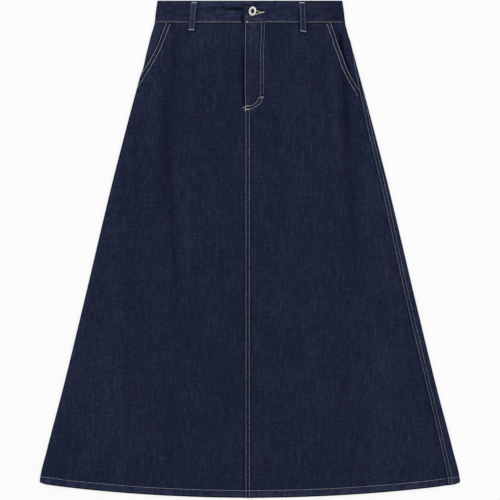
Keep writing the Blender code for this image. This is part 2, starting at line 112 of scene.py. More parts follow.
# Thread: the radii, and how far in from an edge the lines run (and how far down, beside the mouths)
STITCH_PITCH, STITCH_LENGTH = 0.0032, 0.0029
TACK_PITCH, TACK_THREAD, TACK_LIFT = 0.00055, 0.00027, 0.00012
FINE_THREAD, BOLD_THREAD, HEAVY_THREAD, HEM_THREAD = 0.00018, 0.00021, 0.00027, 0.00027
DOUBLE_THREAD = 0.00034
UNEVEN_PITCH, UNEVEN_LENGTH, UNEVEN_TURN, UNEVEN_LINE, UNEVEN_TACK = 0.00015, 0.06, 0.05, 0.0001, 0.08
FURROW_DEPTH, FURROW_HALF_WIDTH = 0.00018, 0.0015
# Painted shade along each line of stitches, in its furrow: its tone and half width
FURROW_SHADE_TONE, FURROW_SHADE_HALF_WIDTH = -0.3, 0.0028
UNDERSIDE_FURROW_DEPTH = 0.00045
CF_STITCH, CF_FLY_STITCH, CF_TOP_STITCH = 0.0024, 0.0012, 0.0019
SIDE_STITCHES, CB_STITCHES = (0.002, 0.0084), (-0.0019, -0.0083)
MOUTH_STITCHES_LEFT = ((0.0023, 0.133), (0.009, 0.146))
MOUTH_STITCHES_RIGHT = ((0.0021, 0.13), (0.0093, 0.15))
MOUTH_END_FALL = 0.158
HEM_STITCH = 0.0139
HEM_FALL = BODY_LENGTH - HEM_STITCH
HEM_END_FALL = BODY_LENGTH - 0.0006
FLY_TACK_FALL = 0.1415

OUTLINE = table(
    "drop half_width",
    (0.0, 0.1758), (0.0247, 0.1793), (0.0416, 0.1812), (0.0589, 0.1861), (0.0703, 0.1896), (0.0836, 0.1928),
    (0.1121, 0.2003), (0.1501, 0.2106), (0.1976, 0.2233), (0.2831, 0.2456), (0.3401, 0.2602),
    (0.3971, 0.274), (0.5681, 0.3143), (0.7391, 0.3559), (0.8531, 0.3857), (0.9101, 0.3993), (0.9437, 0.401),
)

# The pocket mouths: how far round the tube the folded edge lies
MOUTH_RIGHT = table(
    "drop reach",
    (0.0416, 0.1602), (0.0665, 0.17), (0.0931, 0.1808), (0.1121, 0.1912), (0.1311, 0.2023), (0.15, 0.2142),
    (0.174, 0.2305), (0.2, 0.249),
)
MOUTH_LEFT = table(
    "drop reach",
    (0.0416, 0.155), (0.0665, 0.1637), (0.0836, 0.1691), (0.1026, 0.1764), (0.1216, 0.183), (0.1406, 0.1916),
    (0.1596, 0.2025), (0.1691, 0.2082), (0.2, 0.226),
)

# The left side seam: how far the back panel comes round the side fold on to the front
LEFT_SEAM = table(
    "drop on_front",
    (0.0416, -0.014), (0.0836, -0.0036), (0.12, 0.003), (0.156, 0.0056), (0.188, 0.007), (0.226, 0.0092),
    (0.378, 0.012), (0.454, 0.014), (0.606, 0.0158), (0.758, 0.0162), (0.853, 0.0183), (0.9437, 0.0209),
)

# Folds of the front: their middle line through three x, their ends, half width and height.
# Those in FOLDS are in the solids too.
FOLD_COLUMNS = "x_top x_mid x_end drop_top drop_end half_width height"
FOLDS = table(
    FOLD_COLUMNS,
    (-0.137, -0.158, -0.134, 0.055, 0.58, 0.011, -0.0015), (0.172, 0.19, 0.197, 0.12, 0.5, 0.01, -0.0014),
    (-0.118, -0.12, -0.116, 0.3, 0.56, 0.012, 0.001), (-0.262, -0.283, -0.306, 0.56, 0.88, 0.034, 0.0011),
    (0.236, 0.258, 0.282, 0.56, 0.88, 0.026, 0.0011), (0.085, 0.095, 0.105, 0.24, 0.47, 0.04, 0.0008),
)
CREASES = table(
    FOLD_COLUMNS,
    (-0.144, -0.146, -0.15, 0.04, 0.23, 0.0045, -0.0007),
    (-0.158, -0.161, -0.154, 0.15, 0.38, 0.012, -0.0009),
    (-0.154, -0.146, -0.137, 0.29, 0.62, 0.0042, -0.001),
    (-0.122, -0.119, -0.117, 0.38, 0.57, 0.005, 0.0007), (0.16, 0.164, 0.166, 0.08, 0.42, 0.0065, 0.0008),
    (0.176, 0.183, 0.186, 0.12, 0.29, 0.006, -0.0013), (0.188, 0.195, 0.198, 0.23, 0.52, 0.0075, -0.0007),
    (0.138, 0.138, 0.139, 0.07, 0.21, 0.006, -0.0006), (0.044, 0.047, 0.048, 0.19, 0.33, 0.0055, -0.0006),
    (-0.222, -0.218, -0.224, 0.19, 0.4, 0.0065, -0.0008),
)

# Painted light and shade on soft edges down the cloth: paler (or darker) on one side, most beside the edge
STEPS = table(
    "x side drop_top drop_end reach tone",
    (-0.238, -1, 0.59, 0.98, 0.1, 0.13), (0.229, 1, 0.61, 0.98, 0.038, 0.19),
    (0.172, 1, 0.085, 0.31, 0.02, -0.24),
)

# Broad patches of paler (or, below zero, darker) cloth: partly dye, partly painted light and shade on folds
# and hollows
DYE_AND_PAINTED_LIGHT_PATCHES = table(
    "x drop half_x half_drop tone",
    (-0.19, 0.18, 0.016, 0.06, 0.3), (-0.215, 0.27, 0.03, 0.05, 0.12), (-0.262, 0.5, 0.02, 0.13, 0.12),
    (-0.09, 0.07, 0.04, 0.03, 0.24), (-0.102, 0.15, 0.014, 0.03, 0.11), (-0.142, 0.11, 0.005, 0.035, -0.14),
    (-0.142, 0.215, 0.005, 0.04, -0.16), (-0.154, 0.07, 0.006, 0.018, 0.38), (0.15, 0.06, 0.006, 0.03, 0.18),
    (0.172, 0.335, 0.006, 0.045, -0.24), (0.003, 0.212, 0.005, 0.007, 0.34), (-0.09, 0.26, 0.03, 0.07, -0.1),
    (-0.04, 0.175, 0.022, 0.05, -0.08), (-0.002, 0.27, 0.016, 0.13, 0.18),
    (0.0005, 0.074, 0.0036, 0.024, 0.42), (0.008, 0.072, 0.014, 0.026, 0.34),
    (0.004, 0.0445, 0.009, 0.0045, 0.6), (0.003, 0.137, 0.005, 0.014, -0.22),
    (0.004, 0.201, 0.01, 0.007, 0.14), (-0.004, 0.203, 0.0018, 0.0015, -2.6),
    (0.045, 0.13, 0.014, 0.05, -0.06), (0.1, 0.075, 0.02, 0.03, 0.24), (0.095, 0.17, 0.016, 0.03, 0.12),
    (0.075, 0.215, 0.035, 0.04, 0.09), (0.125, 0.29, 0.022, 0.08, 0.14), (0.218, 0.39, 0.014, 0.05, 0.12),
    (0.23, 0.33, 0.018, 0.13, 0.24), (0.278, 0.45, 0.026, 0.12, 0.26), (0.305, 0.855, 0.022, 0.035, 0.14),
)

# The fly's curved stitching, and the centre front's second line below it
FLY_INNER = table(
    "x drop",
    (0.0222, 0.043), (0.0214, 0.074), (0.0204, 0.093), (0.0204, 0.15), (0.0203, 0.169), (0.019, 0.179),
    (0.0152, 0.1889), (0.009, 0.1963), (0.001, 0.1999), (-0.005, 0.2008),
)
FLY_OUTER = table(
    "x drop",
    (0.0277, 0.043), (0.0269, 0.074), (0.0261, 0.093), (0.0261, 0.15), (0.0259, 0.172), (0.0243, 0.184),
    (0.0196, 0.1945), (0.0115, 0.201), (0.002, 0.2053), (-0.005, 0.2062),
)
CF_SECOND = ((-0.001, 0.2062), (-0.001, 0.219), (-0.0014, 0.6), (-0.0009, 0.9436))

# The belt loops: middle line x at the waist edge and at the lower end, drop of the two ends, width, slant
# of the lower end, and how pale the cloth is rubbed
LOOPS = table(
    "name x_top x_end drop_top drop_end width slant rubbed",
    ("belt_loop_right", -0.1059, -0.1114, 0.001, 0.0577, 0.0118, 0.0, 0.42),
    ("belt_loop_left", 0.0993, 0.1014, 0.001, 0.0607, 0.0121, 0.0014, 0.16),
)
LOOP_FLARE = 0.0012
LOOP_RISES = table(
    "share rise",
    (0.0, 0.0003), (0.09, 0.0003), (0.26, 0.0016), (0.52, 0.0018), (0.7, 0.0007), (0.77, 0.0004),
    (0.9, -0.0011), (1.0, -0.0011),
)

Rows = namedtuple("Rows", "fall width")


# ---------------- curves and noise

def ease(start, end, value):
    """0 before start and 1 after end, smooth between them."""
    share = np.clip((value - start) / (end - start), 0.0, 1.0)
    return share * share * (3 - 2 * share)


def ridge(distance, half_width):
    """1 where the distance is 0, fading to 0 on both sides."""
    return np.exp(-((distance / half_width) ** 2))


def curve(rows, at):
    """The smooth curve through a table's first two columns, read at the given places."""
    keys, values = np.array([row[:2] for row in rows]).T
    slopes = np.gradient(values, keys)
    at = np.clip(at, keys[0], keys[-1])
    index = np.clip(np.searchsorted(keys, at, side="right") - 1, 0, len(keys) - 2)
    span = keys[index + 1] - keys[index]
    t = (at - keys[index]) / span
    return (
        values[index] * (1 + 2 * t) * (1 - t) ** 2
        + values[index + 1] * t * t * (3 - 2 * t)
        + slopes[index] * span * t * (1 - t) ** 2
        + slopes[index + 1] * span * t * t * (t - 1)
    )


def scatter(i, j, seed):
    """A fixed number from -1 to 1 for each pair of whole numbers."""
    mixed = np.sin(i * 127.1 + j * 311.7 + seed * 74.7) * 43758.5453
    return 2 * (mixed - np.floor(mixed)) - 1


def noise(x, y, seed):
    """Smooth noise from -1 to 1 with its knots one unit apart."""
    i, j = np.floor(x), np.floor(y)
    u, v = ease(0, 1, x - i), ease(0, 1, y - j)
    low, high = (scatter(i, j + k, seed) * (1 - u) + scatter(i + 1, j + k, seed) * u for k in (0, 1))
    return low * (1 - v) + high * v


def unit(vectors):
    return vectors / np.linalg.norm(vectors, axis=1, keepdims=True)


def way_along(points):
    """The way along a polyline to each of its points."""
    return np.concatenate(([0.0], np.cumsum(np.linalg.norm(np.diff(points, axis=0), axis=1))))


def spline(points, steps=8):
    """A smooth polyline through the points."""
    given = np.array(points, float)
    at = way_along(given)
    fine = np.linspace(0, at[-1], steps * (len(given) - 1) + 1)
    return np.stack([curve(list(zip(at, column)), fine) for column in given.T], axis=1)


def to_line(x, y, line):
    """The distance of points from a polyline."""
    start, step = line[:-1], np.diff(line, axis=0)
    px, py = x[..., None] - start[:, 0], y[..., None] - start[:, 1]
    share = np.clip((px * step[:, 0] + py * step[:, 1]) / np.linalg.norm(step, axis=1) ** 2, 0, 1)
    return np.hypot(px - share * step[:, 0], py - share * step[:, 1]).min(axis=-1)


# ---------------- the laid tube

def hem_rise(x):
    lift = HEM_LIFT * ease(*HEM_LIFT_X, np.abs(x))
    return HEM_ARC_RADIUS - np.sqrt(HEM_ARC_RADIUS**2 - (x - HEM_ARC_X) ** 2) + lift


def row_y(x, fall):
    """The tube's rows bend with the hem's arc, and the last ones with its rounded corners."""
    corner = ease(BODY_LENGTH - 0.009, BODY_LENGTH, fall) * curve(HEM_CORNERS, np.abs(x))
    return SEAM_Y - fall * (1 - hem_rise(x) / BODY_LENGTH) + corner


def rows_at(fall):
    """The tube's rows at these falls, with their half widths."""
    width = curve(OUTLINE, BAND_HEIGHT + fall)
    for _ in range(4):
        width = curve(OUTLINE, WAIST_Y - row_y(width, fall))
    return Rows(fall, width)


def hem_share(rows):
    return ease(HEM_HEIGHT + 0.003, HEM_HEIGHT, BODY_LENGTH - rows.fall)


def wall_at(rows):
    return CLOTH + (HEM_CLOTH - CLOTH) * hem_share(rows)


def fold_height(fold, x, drop):
    t = np.clip((drop - fold.drop_top) / (fold.drop_end - fold.drop_top), 0.0, 1.0)
    start = fold.x_top * (1 - t) * (1 - 2 * t)
    middle = fold.x_mid * 4 * t * (1 - t)
    end = fold.x_end * t * (2 * t - 1)
    return fold.height * np.sin(math.pi * t) * ridge(x - start - middle - end, fold.half_width)


FLY_LINE = spline(FLY_OUTER)


def beyond_fly(x, drop):
    return x - np.interp(drop, FLY_LINE[:, 1], FLY_LINE[:, 0])


def fly_rise(x, drop):
    """The fly's facing under the cloth lifts it as far as the curved stitching."""
    distance = to_line(x, drop, FLY_LINE)
    inside = (beyond_fly(x, drop) < 0) & (drop < FLY_LINE[-1, 1])
    return FLY_RAISE * ease(-0.002, 0.002, np.where(inside, distance, -distance))


def puckers(x, drop, rows):
    """The small ripples that the sewing leaves beside the seams of the front."""
    lap = noise(drop / 0.0085, x / 0.02, 1) * ridge(x - CF_EDGE_X - 0.006, 0.01)
    above_hem = BODY_LENGTH - HEM_HEIGHT - rows.fall
    hem = noise(x / 0.0052 + rows.fall / 0.016, 0, 2) * ridge(above_hem + 0.004, 0.01)
    waist = noise(x / 0.011, 0, 3) * ridge(rows.fall, 0.014)
    return 0.00022 * lap + 0.00028 * hem + 0.0003 * waist


def front_height(x, y, rows):
    """The outer face of the front above the floor, where one layer lies on the back."""
    drop, inside = WAIST_Y - y, rows.width - np.abs(x)
    rim = 1 - ease(RIM_FLAT, RIM_END, inside)
    height = FRONT_LEVEL + (2 * FOLD_RADIUS - FRONT_LEVEL) * rim
    for fold in FOLDS + CREASES:
        height = height + (1 - rim) * fold_height(fold, x, drop)
    back_seam = 1 - ease(0.008, 0.022, np.abs(x - CB_EDGE_X - 0.005))
    loose = 0.0003 * noise(x / 0.045, drop / 0.11, 5) + 0.00014 * noise(x / 0.016, drop / 0.05, 6)
    small = ease(0.003, 0.014, inside) * (loose + puckers(x, drop, rows))
    return height + 0.001 * hem_share(rows) * back_seam + small


def lap_rise(x, rows):
    """How far the left front rises over the right front's tongue, and over the fly and band above."""
    fly = 1 - ease(0.0, FLY_TOP_LENGTH, rows.fall)
    start, end = (below + fly * (top - below) for below, top in zip(LAP_FALL_X, OVERLAP_FALL_X))
    height = wall_at(rows) + GAP + fly * (OVERLAP_RISE - LAP_STEP)
    return height * (1 - ease(start, end, x)) + fly_rise(x, BAND_HEIGHT + rows.fall + 0 * x)


def place(side, reach, rows, depth, rise=0.0):
    """Points of the tube, as an array of x, y and z."""
    flat = rows.width - FOLD_RADIUS
    turn = np.clip((reach - flat) / FOLD_RADIUS, 0.0, math.pi)
    under = np.maximum(reach - flat - FOLD_ARC, 0.0)
    x = side * (np.minimum(reach, flat) + (FOLD_RADIUS - depth) * np.sin(turn) - under)
    y = row_y(x, rows.fall)
    on_front = np.where(reach < flat, front_height(x, y, rows) - 2 * FOLD_RADIUS + rise, 0.0)
    z = FOLD_RADIUS + (FOLD_RADIUS - depth) * np.cos(turn) + on_front
    return np.stack([x, y, z], axis=-1)


def left_seam(rows):
    return rows.width - FOLD_RADIUS - curve(LEFT_SEAM, BAND_HEIGHT + rows.fall)


def right_seam(rows):
    return rows.width - FOLD_RADIUS + FOLD_ARC + HIDDEN_SEAM_REACH


def back_middle(rows):
    return 2 * (rows.width - FOLD_RADIUS) + FOLD_ARC


def cb_edge(rows):
    return back_middle(rows) - CB_EDGE_X


def mouth(edge, rows):
    return curve(edge, BAND_HEIGHT + rows.fall)


def front_end(edge, rows, end):
    """A front's outer edge: the pocket mouth, and below it the tongue under the back's edge."""
    below = BAND_HEIGHT + rows.fall > edge[-1].drop
    return np.where(below, end, np.minimum(mouth(edge, rows), end))


def front_depth(reach, rows, seam, ramp):
    return (wall_at(rows) + GAP) * ease(seam - ramp, seam - 0.002, reach)


def thinned(rows, share):
    """The wall, down to the cloth's own thickness where the share is 1."""
    return wall_at(rows) - (wall_at(rows) - CLOTH) * share


# Each skin gives the points of one panel's outer face, or with under > 0 those that far below it

def front_left_skin(rows, reach, under=0.0):
    depth = front_depth(reach, rows, left_seam(rows), FRONT_RAMP)
    return place(1, reach, rows, depth + under, lap_rise(reach, rows))


def front_right_skin(rows, reach, under=0.0):
    return place(-1, reach, rows, front_depth(reach, rows, right_seam(rows), HIDDEN_RAMP) + under)


def back_left_skin(rows, reach, under=0.0):
    return place(1, reach, rows, under + 0 * reach)


def cb_ramp(rows, reach):
    edge = back_middle(rows) + CB_EDGE_X
    return ease(edge - CB_RAMP, edge - 0.0012, reach)


def back_right_skin(rows, reach, under=0.0):
    return place(-1, reach, rows, (wall_at(rows) + GAP) * cb_ramp(rows, reach) + under)


def facing_skin(side, edge, seam_of, ramp):
    def skin(rows, reach, under=0.0):
        opening, seam = mouth(edge, rows), seam_of(rows)
        inside = front_depth(np.minimum(reach, opening), rows, seam, ramp)
        beyond = reach - opening
        near = 1 - ease(0.0, 0.008, beyond)
        under_back = ease(seam - 0.01, seam - 0.0012, reach)
        away = ease(0.006, 0.016, beyond) * (1 - under_back)
        return place(side, reach, rows, LAP_STEP + inside * near - (LAP_STEP - GAP) * away + under)

    return skin


# ---------------- stitched lines of each panel

def line_down(reach_at, end=HEM_END_FALL):
    """A line down a panel, as columns of reach and fall."""
    falls = np.linspace(SLIT, end, 60)
    return np.stack([reach_at(rows_at(falls[:, None]))[:, 0], falls], axis=1)


def lines_beside(edge, insets):
    return tuple((line_down(lambda rows: edge(rows) + inset), FINE_THREAD) for inset in insets)


def line_drawn(side, points):
    x, drop = spline(points, 6).T
    return np.stack([side * x, (drop - BAND_HEIGHT) / (1 - hem_rise(x) / BODY_LENGTH)], axis=1)


def line_round(start, end):
    """The hem's line, round the tube."""
    return np.array([(start, HEM_FALL), (end, HEM_FALL)])


def lines_inside(edge, stitches_in):
    """The lines beside a pocket mouth, at each distance from it and down to each fall."""
    line = line_down(lambda rows: mouth(edge, rows), MOUTH_END_FALL)
    step = np.gradient(line, axis=0)
    across = unit(np.stack([-step[:, 1], step[:, 0]], axis=1))
    for distance, until in stitches_in:
        moved = line + across * distance
        yield moved[(moved[:, 1] < until) & (moved[:, 1] > SLIT)], DOUBLE_THREAD


def cf_stitch_reach(rows):
    above = (CF_TOP_STITCH - CF_FLY_STITCH) * ease(0.075, 0.0, rows.fall)
    below = (CF_STITCH - CF_FLY_STITCH) * ease(0.135, 0.165, rows.fall)
    return CF_EDGE_X + CF_FLY_STITCH + above + below


def fly_lines():
    """The fly's two lines: fine thread above its bar and doubled thread below it."""
    lines = [line_drawn(1, points) for points in (FLY_INNER, FLY_OUTER)]
    yield from ((line[line[:, 1] <= FLY_TACK_FALL], FINE_THREAD) for line in lines)
    yield from ((line[line[:, 1] >= FLY_TACK_FALL], DOUBLE_THREAD) for line in lines)


LEFT_HEM, RIGHT_HEM, BACK_HEM = (edge(rows_at(HEM_FALL)) for edge in (left_seam, right_seam, back_middle))
FRONT_LEFT_LINES = (
    (line_down(cf_stitch_reach), BOLD_THREAD),
    (line_drawn(1, CF_SECOND), BOLD_THREAD),
    *fly_lines(),
    *lines_inside(MOUTH_LEFT, MOUTH_STITCHES_LEFT),
    (line_round(CF_EDGE_X, LEFT_HEM), HEM_THREAD),
)
FRONT_RIGHT_LINES = (
    *lines_inside(MOUTH_RIGHT, MOUTH_STITCHES_RIGHT),
    (line_round(-CF_EDGE_X + 0.0006, RIGHT_HEM), HEM_THREAD),
)
BACK_LEFT_LINES = (
    *lines_beside(left_seam, SIDE_STITCHES),
    *lines_beside(cb_edge, CB_STITCHES),
    (line_round(LEFT_HEM, BACK_HEM - CB_EDGE_X), BOLD_THREAD),
)
BACK_RIGHT_LINES = (
    *lines_beside(right_seam, SIDE_STITCHES),
    (line_round(RIGHT_HEM, BACK_HEM + CB_EDGE_X), BOLD_THREAD),
)


def near_lines(lines, reach, rows, half_width):
    """1 on the stitched lines, fading to 0 beside them."""
    fall = rows.fall + 0 * reach
    closest = np.ones_like(reach)
    for line, _ in lines:
        closest = np.minimum(closest, to_line(reach, fall, line))
    return ridge(closest, half_width)


def furrow_depth(reach, rows):
    """How far a line of stitches is drawn in: more on the underside, so that nothing stands below it."""
    turned = ease(0, FOLD_ARC, reach - rows.width + FOLD_RADIUS)
    return FURROW_DEPTH + (UNDERSIDE_FURROW_DEPTH - FURROW_DEPTH) * turned


# ---------------- materials

DENIM_RAMP = (
    (0.02, (0.001, 0.0016, 0.0051)), (0.3, (0.005, 0.0078, 0.0239)),
    (0.53, (0.0107, 0.0161, 0.0437)), (0.8, (0.03, 0.0385, 0.08)),
)
DYE_GREENER, DYE_REDDER = (0.9, 1.0, 0.98), (1.1, 1.0, 1.02)
# How far the tone attribute, which carries dye, wear and painted light and shade, moves the indigo
TONE_WEIGHT = 0.3


class Tree:
    """Builds a material's nodes with short calls."""

    def __init__(self, name):
        self.material = bpy.data.materials.new(name)
        self.material.use_nodes = True
        self.nodes = self.material.node_tree.nodes

    def feed(self, node, inputs):
        for name, value in inputs.items():
            if isinstance(value, bpy.types.NodeSocket):
                self.material.node_tree.links.new(value, node.inputs[name])
            else:
                node.inputs[name].default_value = value

    def node(self, kind, inputs=None, operation=None):
        """A new node with its inputs set or linked."""
        node = self.nodes.new("ShaderNode" + kind)
        if operation:
            node.operation = operation
        self.feed(node, inputs or {})
        return node

    def total(self, start, *weighted):
        """The start and each value times its weight."""
        for value, weight in weighted:
            start = self.node("Math", {0: value, 1: weight, 2: start}, "MULTIPLY_ADD").outputs[0]
        return start

    def times(self, colour, tint):
        return self.node("VectorMath", {0: colour, 1: tint}, "MULTIPLY").outputs["Vector"]

    def stretched(self, scale, turn=0.0):
        """Object coordinates times a scale for each axis, and turned about Z."""
        where = self.node("TexCoord").outputs["Object"]
        return self.node("Mapping", {"Vector": where, "Rotation": (0, 0, turn), "Scale": scale}).outputs[0]

    def noise(self, scale, detail=2.0, roughness=0.5):
        """Noise with the given number of waves per metre along each axis."""
        inputs = {"Vector": self.stretched(scale), "Scale": 1.0, "Detail": detail, "Roughness": roughness}
        return self.node("TexNoise", inputs).outputs["Fac"]

    def bands(self, waves, turn):
        """Straight sine bands with this many waves per metre."""
        inputs = {"Scale": waves * 2 * math.pi / 20, "Distortion": 0.6, "Detail": 1.0, "Detail Scale": 0.4}
        return self.node("TexWave", {"Vector": self.stretched((1, 1, 1), turn), **inputs}).outputs["Fac"]

    def attribute(self, name):
        node = self.node("Attribute")
        node.attribute_name = name
        return node.outputs["Fac"]

    def ramp(self, value, *stops):
        """Colours along a value, from stops of (value, colour)."""
        node = self.node("ValToRGB", {"Fac": value})
        elements = node.color_ramp.elements
        for at, _ in stops[2:]:
            elements.new(at)
        for element, (at, colour) in zip(elements, stops):
            element.position = at
            element.color = (*colour, 1)
        return node.outputs["Color"]

    def bump(self, height, distance, strength=1.0):
        return self.node("Bump", {"Height": height, "Distance": distance, "Strength": strength}).outputs[0]

    def finish(self, **inputs):
        """The material, with these inputs of its shader."""
        named = {name.replace("_", " "): value for name, value in inputs.items()}
        self.feed(self.nodes["Principled BSDF"], named)
        return self.material


def tinted(colour, *factors):
    return tuple(min(1.0, factor * part) for factor, part in zip(factors * 3, colour))


def denim(name, shade=(1.0, 1.0, 1.0), warp_across=False):
    """Indigo warp over pale weft: flecks and streaks along the warp, worn patches, twill in the bump."""
    tree = Tree(name)

    def woven(across, along, detail=2.0, roughness=0.6):
        return tree.noise((along, across, 60) if warp_across else (across, along, 60), detail, roughness)

    flecks, yarns, twill = woven(300, 230), woven(900, 120), tree.bands(1350, math.radians(62))
    streaks, weft = woven(290, 34), woven(36, 400, 1.0)
    slubs, worn = woven(150, 7), woven(24, 10, 2.0, 0.5)
    toned = tree.total(
        -0.415, (flecks, 0.57), (streaks, 0.44), (yarns, 0.36), (weft, 0.18), (slubs, 0.1), (worn, 0.1),
        (twill, 0.1), (tree.attribute("tone"), TONE_WEIGHT),
    )
    indigo = tree.ramp(toned, *((at, tinted(colour, *shade)) for at, colour in DENIM_RAMP))
    cast = tree.ramp(tree.noise((12, 9, 12)), (0.35, DYE_GREENER), (0.65, DYE_REDDER))
    return tree.finish(
        Base_Color=tree.times(indigo, cast),
        Normal=tree.bump(tree.total(0.0, (twill, 0.55), (yarns, 0.7), (flecks, 0.8)), 0.00028, 0.8),
        Roughness=tree.total(0.95, (flecks, -0.15)),
        Specular_IOR_Level=0.12,
        Sheen_Weight=0.08,
        Sheen_Roughness=0.45,
        Sheen_Tint=(0.55, 0.65, 0.9, 1),
    )


def thread_finish(name, colour):
    tree = Tree(name)
    ply, worn = tree.noise((2600, 2600, 2600), 1.0), tree.noise((160, 160, 160))
    shaded = tree.total(0.0, (worn, 0.5), (ply, 0.5))
    return tree.finish(
        Base_Color=tree.ramp(shaded, (0.3, tinted(colour, 0.62)), (0.72, tinted(colour, 1.25))),
        Normal=tree.bump(ply, 0.00012),
        Roughness=0.62,
        Specular_IOR_Level=0.35,
        Sheen_Weight=0.1,
    )


def metal_finish(name, colour, smooth, rough, metallic=1.0):
    tree = Tree(name)
    brushed = tree.noise((900, 900, 900), 3.0, 0.6)
    return tree.finish(
        Base_Color=tree.ramp(brushed, (0.3, tinted(colour, 0.8)), (0.62, colour)),
        Roughness=tree.total(smooth, (brushed, rough - smooth)),
        Normal=tree.bump(brushed, 0.00004),
        Metallic=metallic,
    )


PANEL_DENIM = denim("denim_panels")
FACING_DENIM = denim("denim_facings", (1.12, 1.1, 1.08))
BAND_DENIM = denim("denim_waistband", (1.44, 1.38, 1.24), warp_across=True)
LOOP_DENIM = denim("denim_loops", (1.3, 1.3, 1.3))
PANEL_THREAD = thread_finish("panel_thread", (0.57, 0.61, 0.62))
BAND_THREAD = thread_finish("band_thread", (0.62, 0.59, 0.52))
LOOP_THREAD = thread_finish("loop_thread", (0.22, 0.245, 0.245))
PALE_ECRU = thread_finish("pale_thread", (0.86, 0.82, 0.66))
PALE_METAL = metal_finish("pale_metal", (1.0, 0.99, 0.91), 0.3, 0.5, 0.45)
BROWN_METAL = metal_finish("brown_metal", (0.42, 0.33, 0.24), 0.4, 0.6)
# Nearly black: painted shade on the floor of the button's hollow
BUTTON_HOLLOW_SHADE = metal_finish("button_hollow_shade", (0.016, 0.014, 0.012), 0.5, 0.7)


# ---------------- meshes

def spaced(start, end, count, zones, coarse):
    """count + 1 places from start to end, closer in the zones (start, end, step)."""
    at = np.linspace(start, end, 1200)
    density = np.full_like(at, 1 / coarse)
    for zone_start, zone_end, step in zones:
        blend = ease(zone_start - 0.003, zone_start, at) * (1 - ease(zone_end, zone_end + 0.003, at))
        density = np.maximum(density, blend / step)
    total = np.concatenate(([0.0], np.cumsum((density[1:] + density[:-1]) / 2)))
    return np.interp(np.linspace(0, total[-1], count + 1), total, at)


def add(name, data):
    """A new object in the scene."""
    made = bpy.data.objects.new(name, data)
    bpy.context.scene.collection.objects.link(made)
    return made


def fill(mesh, build):
    """Give the mesh what was built, with its faces turned outward."""
    bmesh.ops.recalc_face_normals(build, faces=build.faces)
    build.to_mesh(mesh)
    build.free()


def add_piece(mesh, *finishes):
    """A piece from a mesh, smooth between its sharp edges."""
    mesh.shade_smooth()
    mesh.set_sharp_from_angle(angle=math.radians(50))
    for finish in finishes:
        mesh.materials.append(finish)
    piece = add(mesh.name, mesh)
    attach(piece, "root")
    return piece


def mesh_piece(name, points, faces, finish, tone=None):
    """A piece from an array of points and a list of faces."""
    mesh = bpy.data.meshes.new(name)
    mesh.from_pydata(points.reshape(-1, 3).tolist(), [], faces)
    if tone is not None:
        values = mesh.attributes.new("tone", "FLOAT", "POINT").data
        values.foreach_set("value", tone.astype(np.float32).ravel())
    build = bmesh.new()
    build.from_mesh(mesh)
    fill(mesh, build)
    return add_piece(mesh, finish)


def quads_of(index):
    """The faces between the rows and columns of a grid of points."""
    corners = [index[:-1, :-1], index[:-1, 1:], index[1:, 1:], index[1:, :-1]]
    return np.stack(corners, axis=-1).reshape(-1, 4)


def bar_faces(rings, sides):
    """The faces of a closed bar of rings of points."""
    index = np.arange(rings * sides).reshape(rings, sides)
    around = quads_of(np.hstack([index, index[:, :1]]))
    return [*around.tolist(), index[0, ::-1].tolist(), index[-1].tolist()]


def shell(name, outer, inner, finish, tone, bevel=0.0004):
    """One closed wall from the grids of points of its outer and inner faces."""
    rows, places = outer.shape[:2]
    below = rows * places
    index = np.arange(below).reshape(rows, places)
    rim = np.concatenate([index[0, :-1], index[:-1, -1], index[-1, :0:-1], index[:0:-1, 0]])
    onward = np.roll(rim, -1)
    edge = np.stack([rim + below, onward + below, onward, rim], axis=-1)
    faces = np.concatenate([quads_of(index), quads_of(index)[:, ::-1] + below, edge]).tolist()
    piece = mesh_piece(name, np.concatenate([outer, inner]), faces, finish, np.concatenate([tone, tone]))
    rounding = piece.modifiers.new("rounding", "BEVEL")
    rounding.width, rounding.segments = bevel, 3
    rounding.limit_method, rounding.angle_limit = "ANGLE", math.radians(60)
    return piece


def lay(node, flat):
    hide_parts(node)
    flat = tuple(float(size) for size in flat)


FALL_ZONES = [(0, 0.004, 0.0015), (0.156, 0.167, 0.0014), (HEM_FALL - 0.004, BODY_LENGTH, 0.0013)]
FALLS = spaced(SLIT, BODY_LENGTH, 294, FALL_ZONES, 0.004)


def panel(name, node, skin, reaches, walls, tones, lines=(), seed=0, falls=FALLS):
    """A panel's shell: reaches(row) places its columns at one fall, walls(rows, reach) is its thickness."""
    rows = rows_at(falls[:, None])
    reach = np.array([reaches(rows_at(fall)) for fall in falls])
    furrow = furrow_depth(reach, rows) * near_lines(lines, reach, rows, FURROW_HALF_WIDTH)
    outer = skin(rows, reach, furrow)
    inner = skin(rows, reach, furrow + walls(rows, reach))
    tone = FURROW_SHADE_TONE * near_lines(lines, reach, rows, FURROW_SHADE_HALF_WIDTH) + tones(rows, reach, outer)
    piece = shell(name, outer, inner, PANEL_DENIM if lines else FACING_DENIM, tone)
    if lines:
        runs = [stitches(path_on(skin, line), seed + k, thread) for k, (line, thread) in enumerate(lines)]
        thread_piece("stitching_" + name, runs, PANEL_THREAD)
    across = reach[:, -1] - reach[:, 0]
    size = (across.max(), falls[-1] - falls[0])
    lay(node, size)


# ---------------- thread
# A path is its points, its outward directions and the way along it. A run is its threads' middles,
# directions, outward directions, lengths and radii.

PATH_STEP = 0.0025
THREAD_SIDES = 6
# The rings of a thread, by the share of its half length, and their size and height by its radius
RING_AT = np.array([-1.0, -0.62, 0.0, 0.62, 1.0])
RING_RADIUS = np.array([0.3, 0.9, 1.0, 0.9, 0.3])
RING_HEIGHT = np.array([-0.55, 0.3, 0.62, 0.3, -0.55])


def path_of(points, up=(0.0, 0.0, 1.0)):
    return points, np.broadcast_to(up, points.shape), way_along(points)


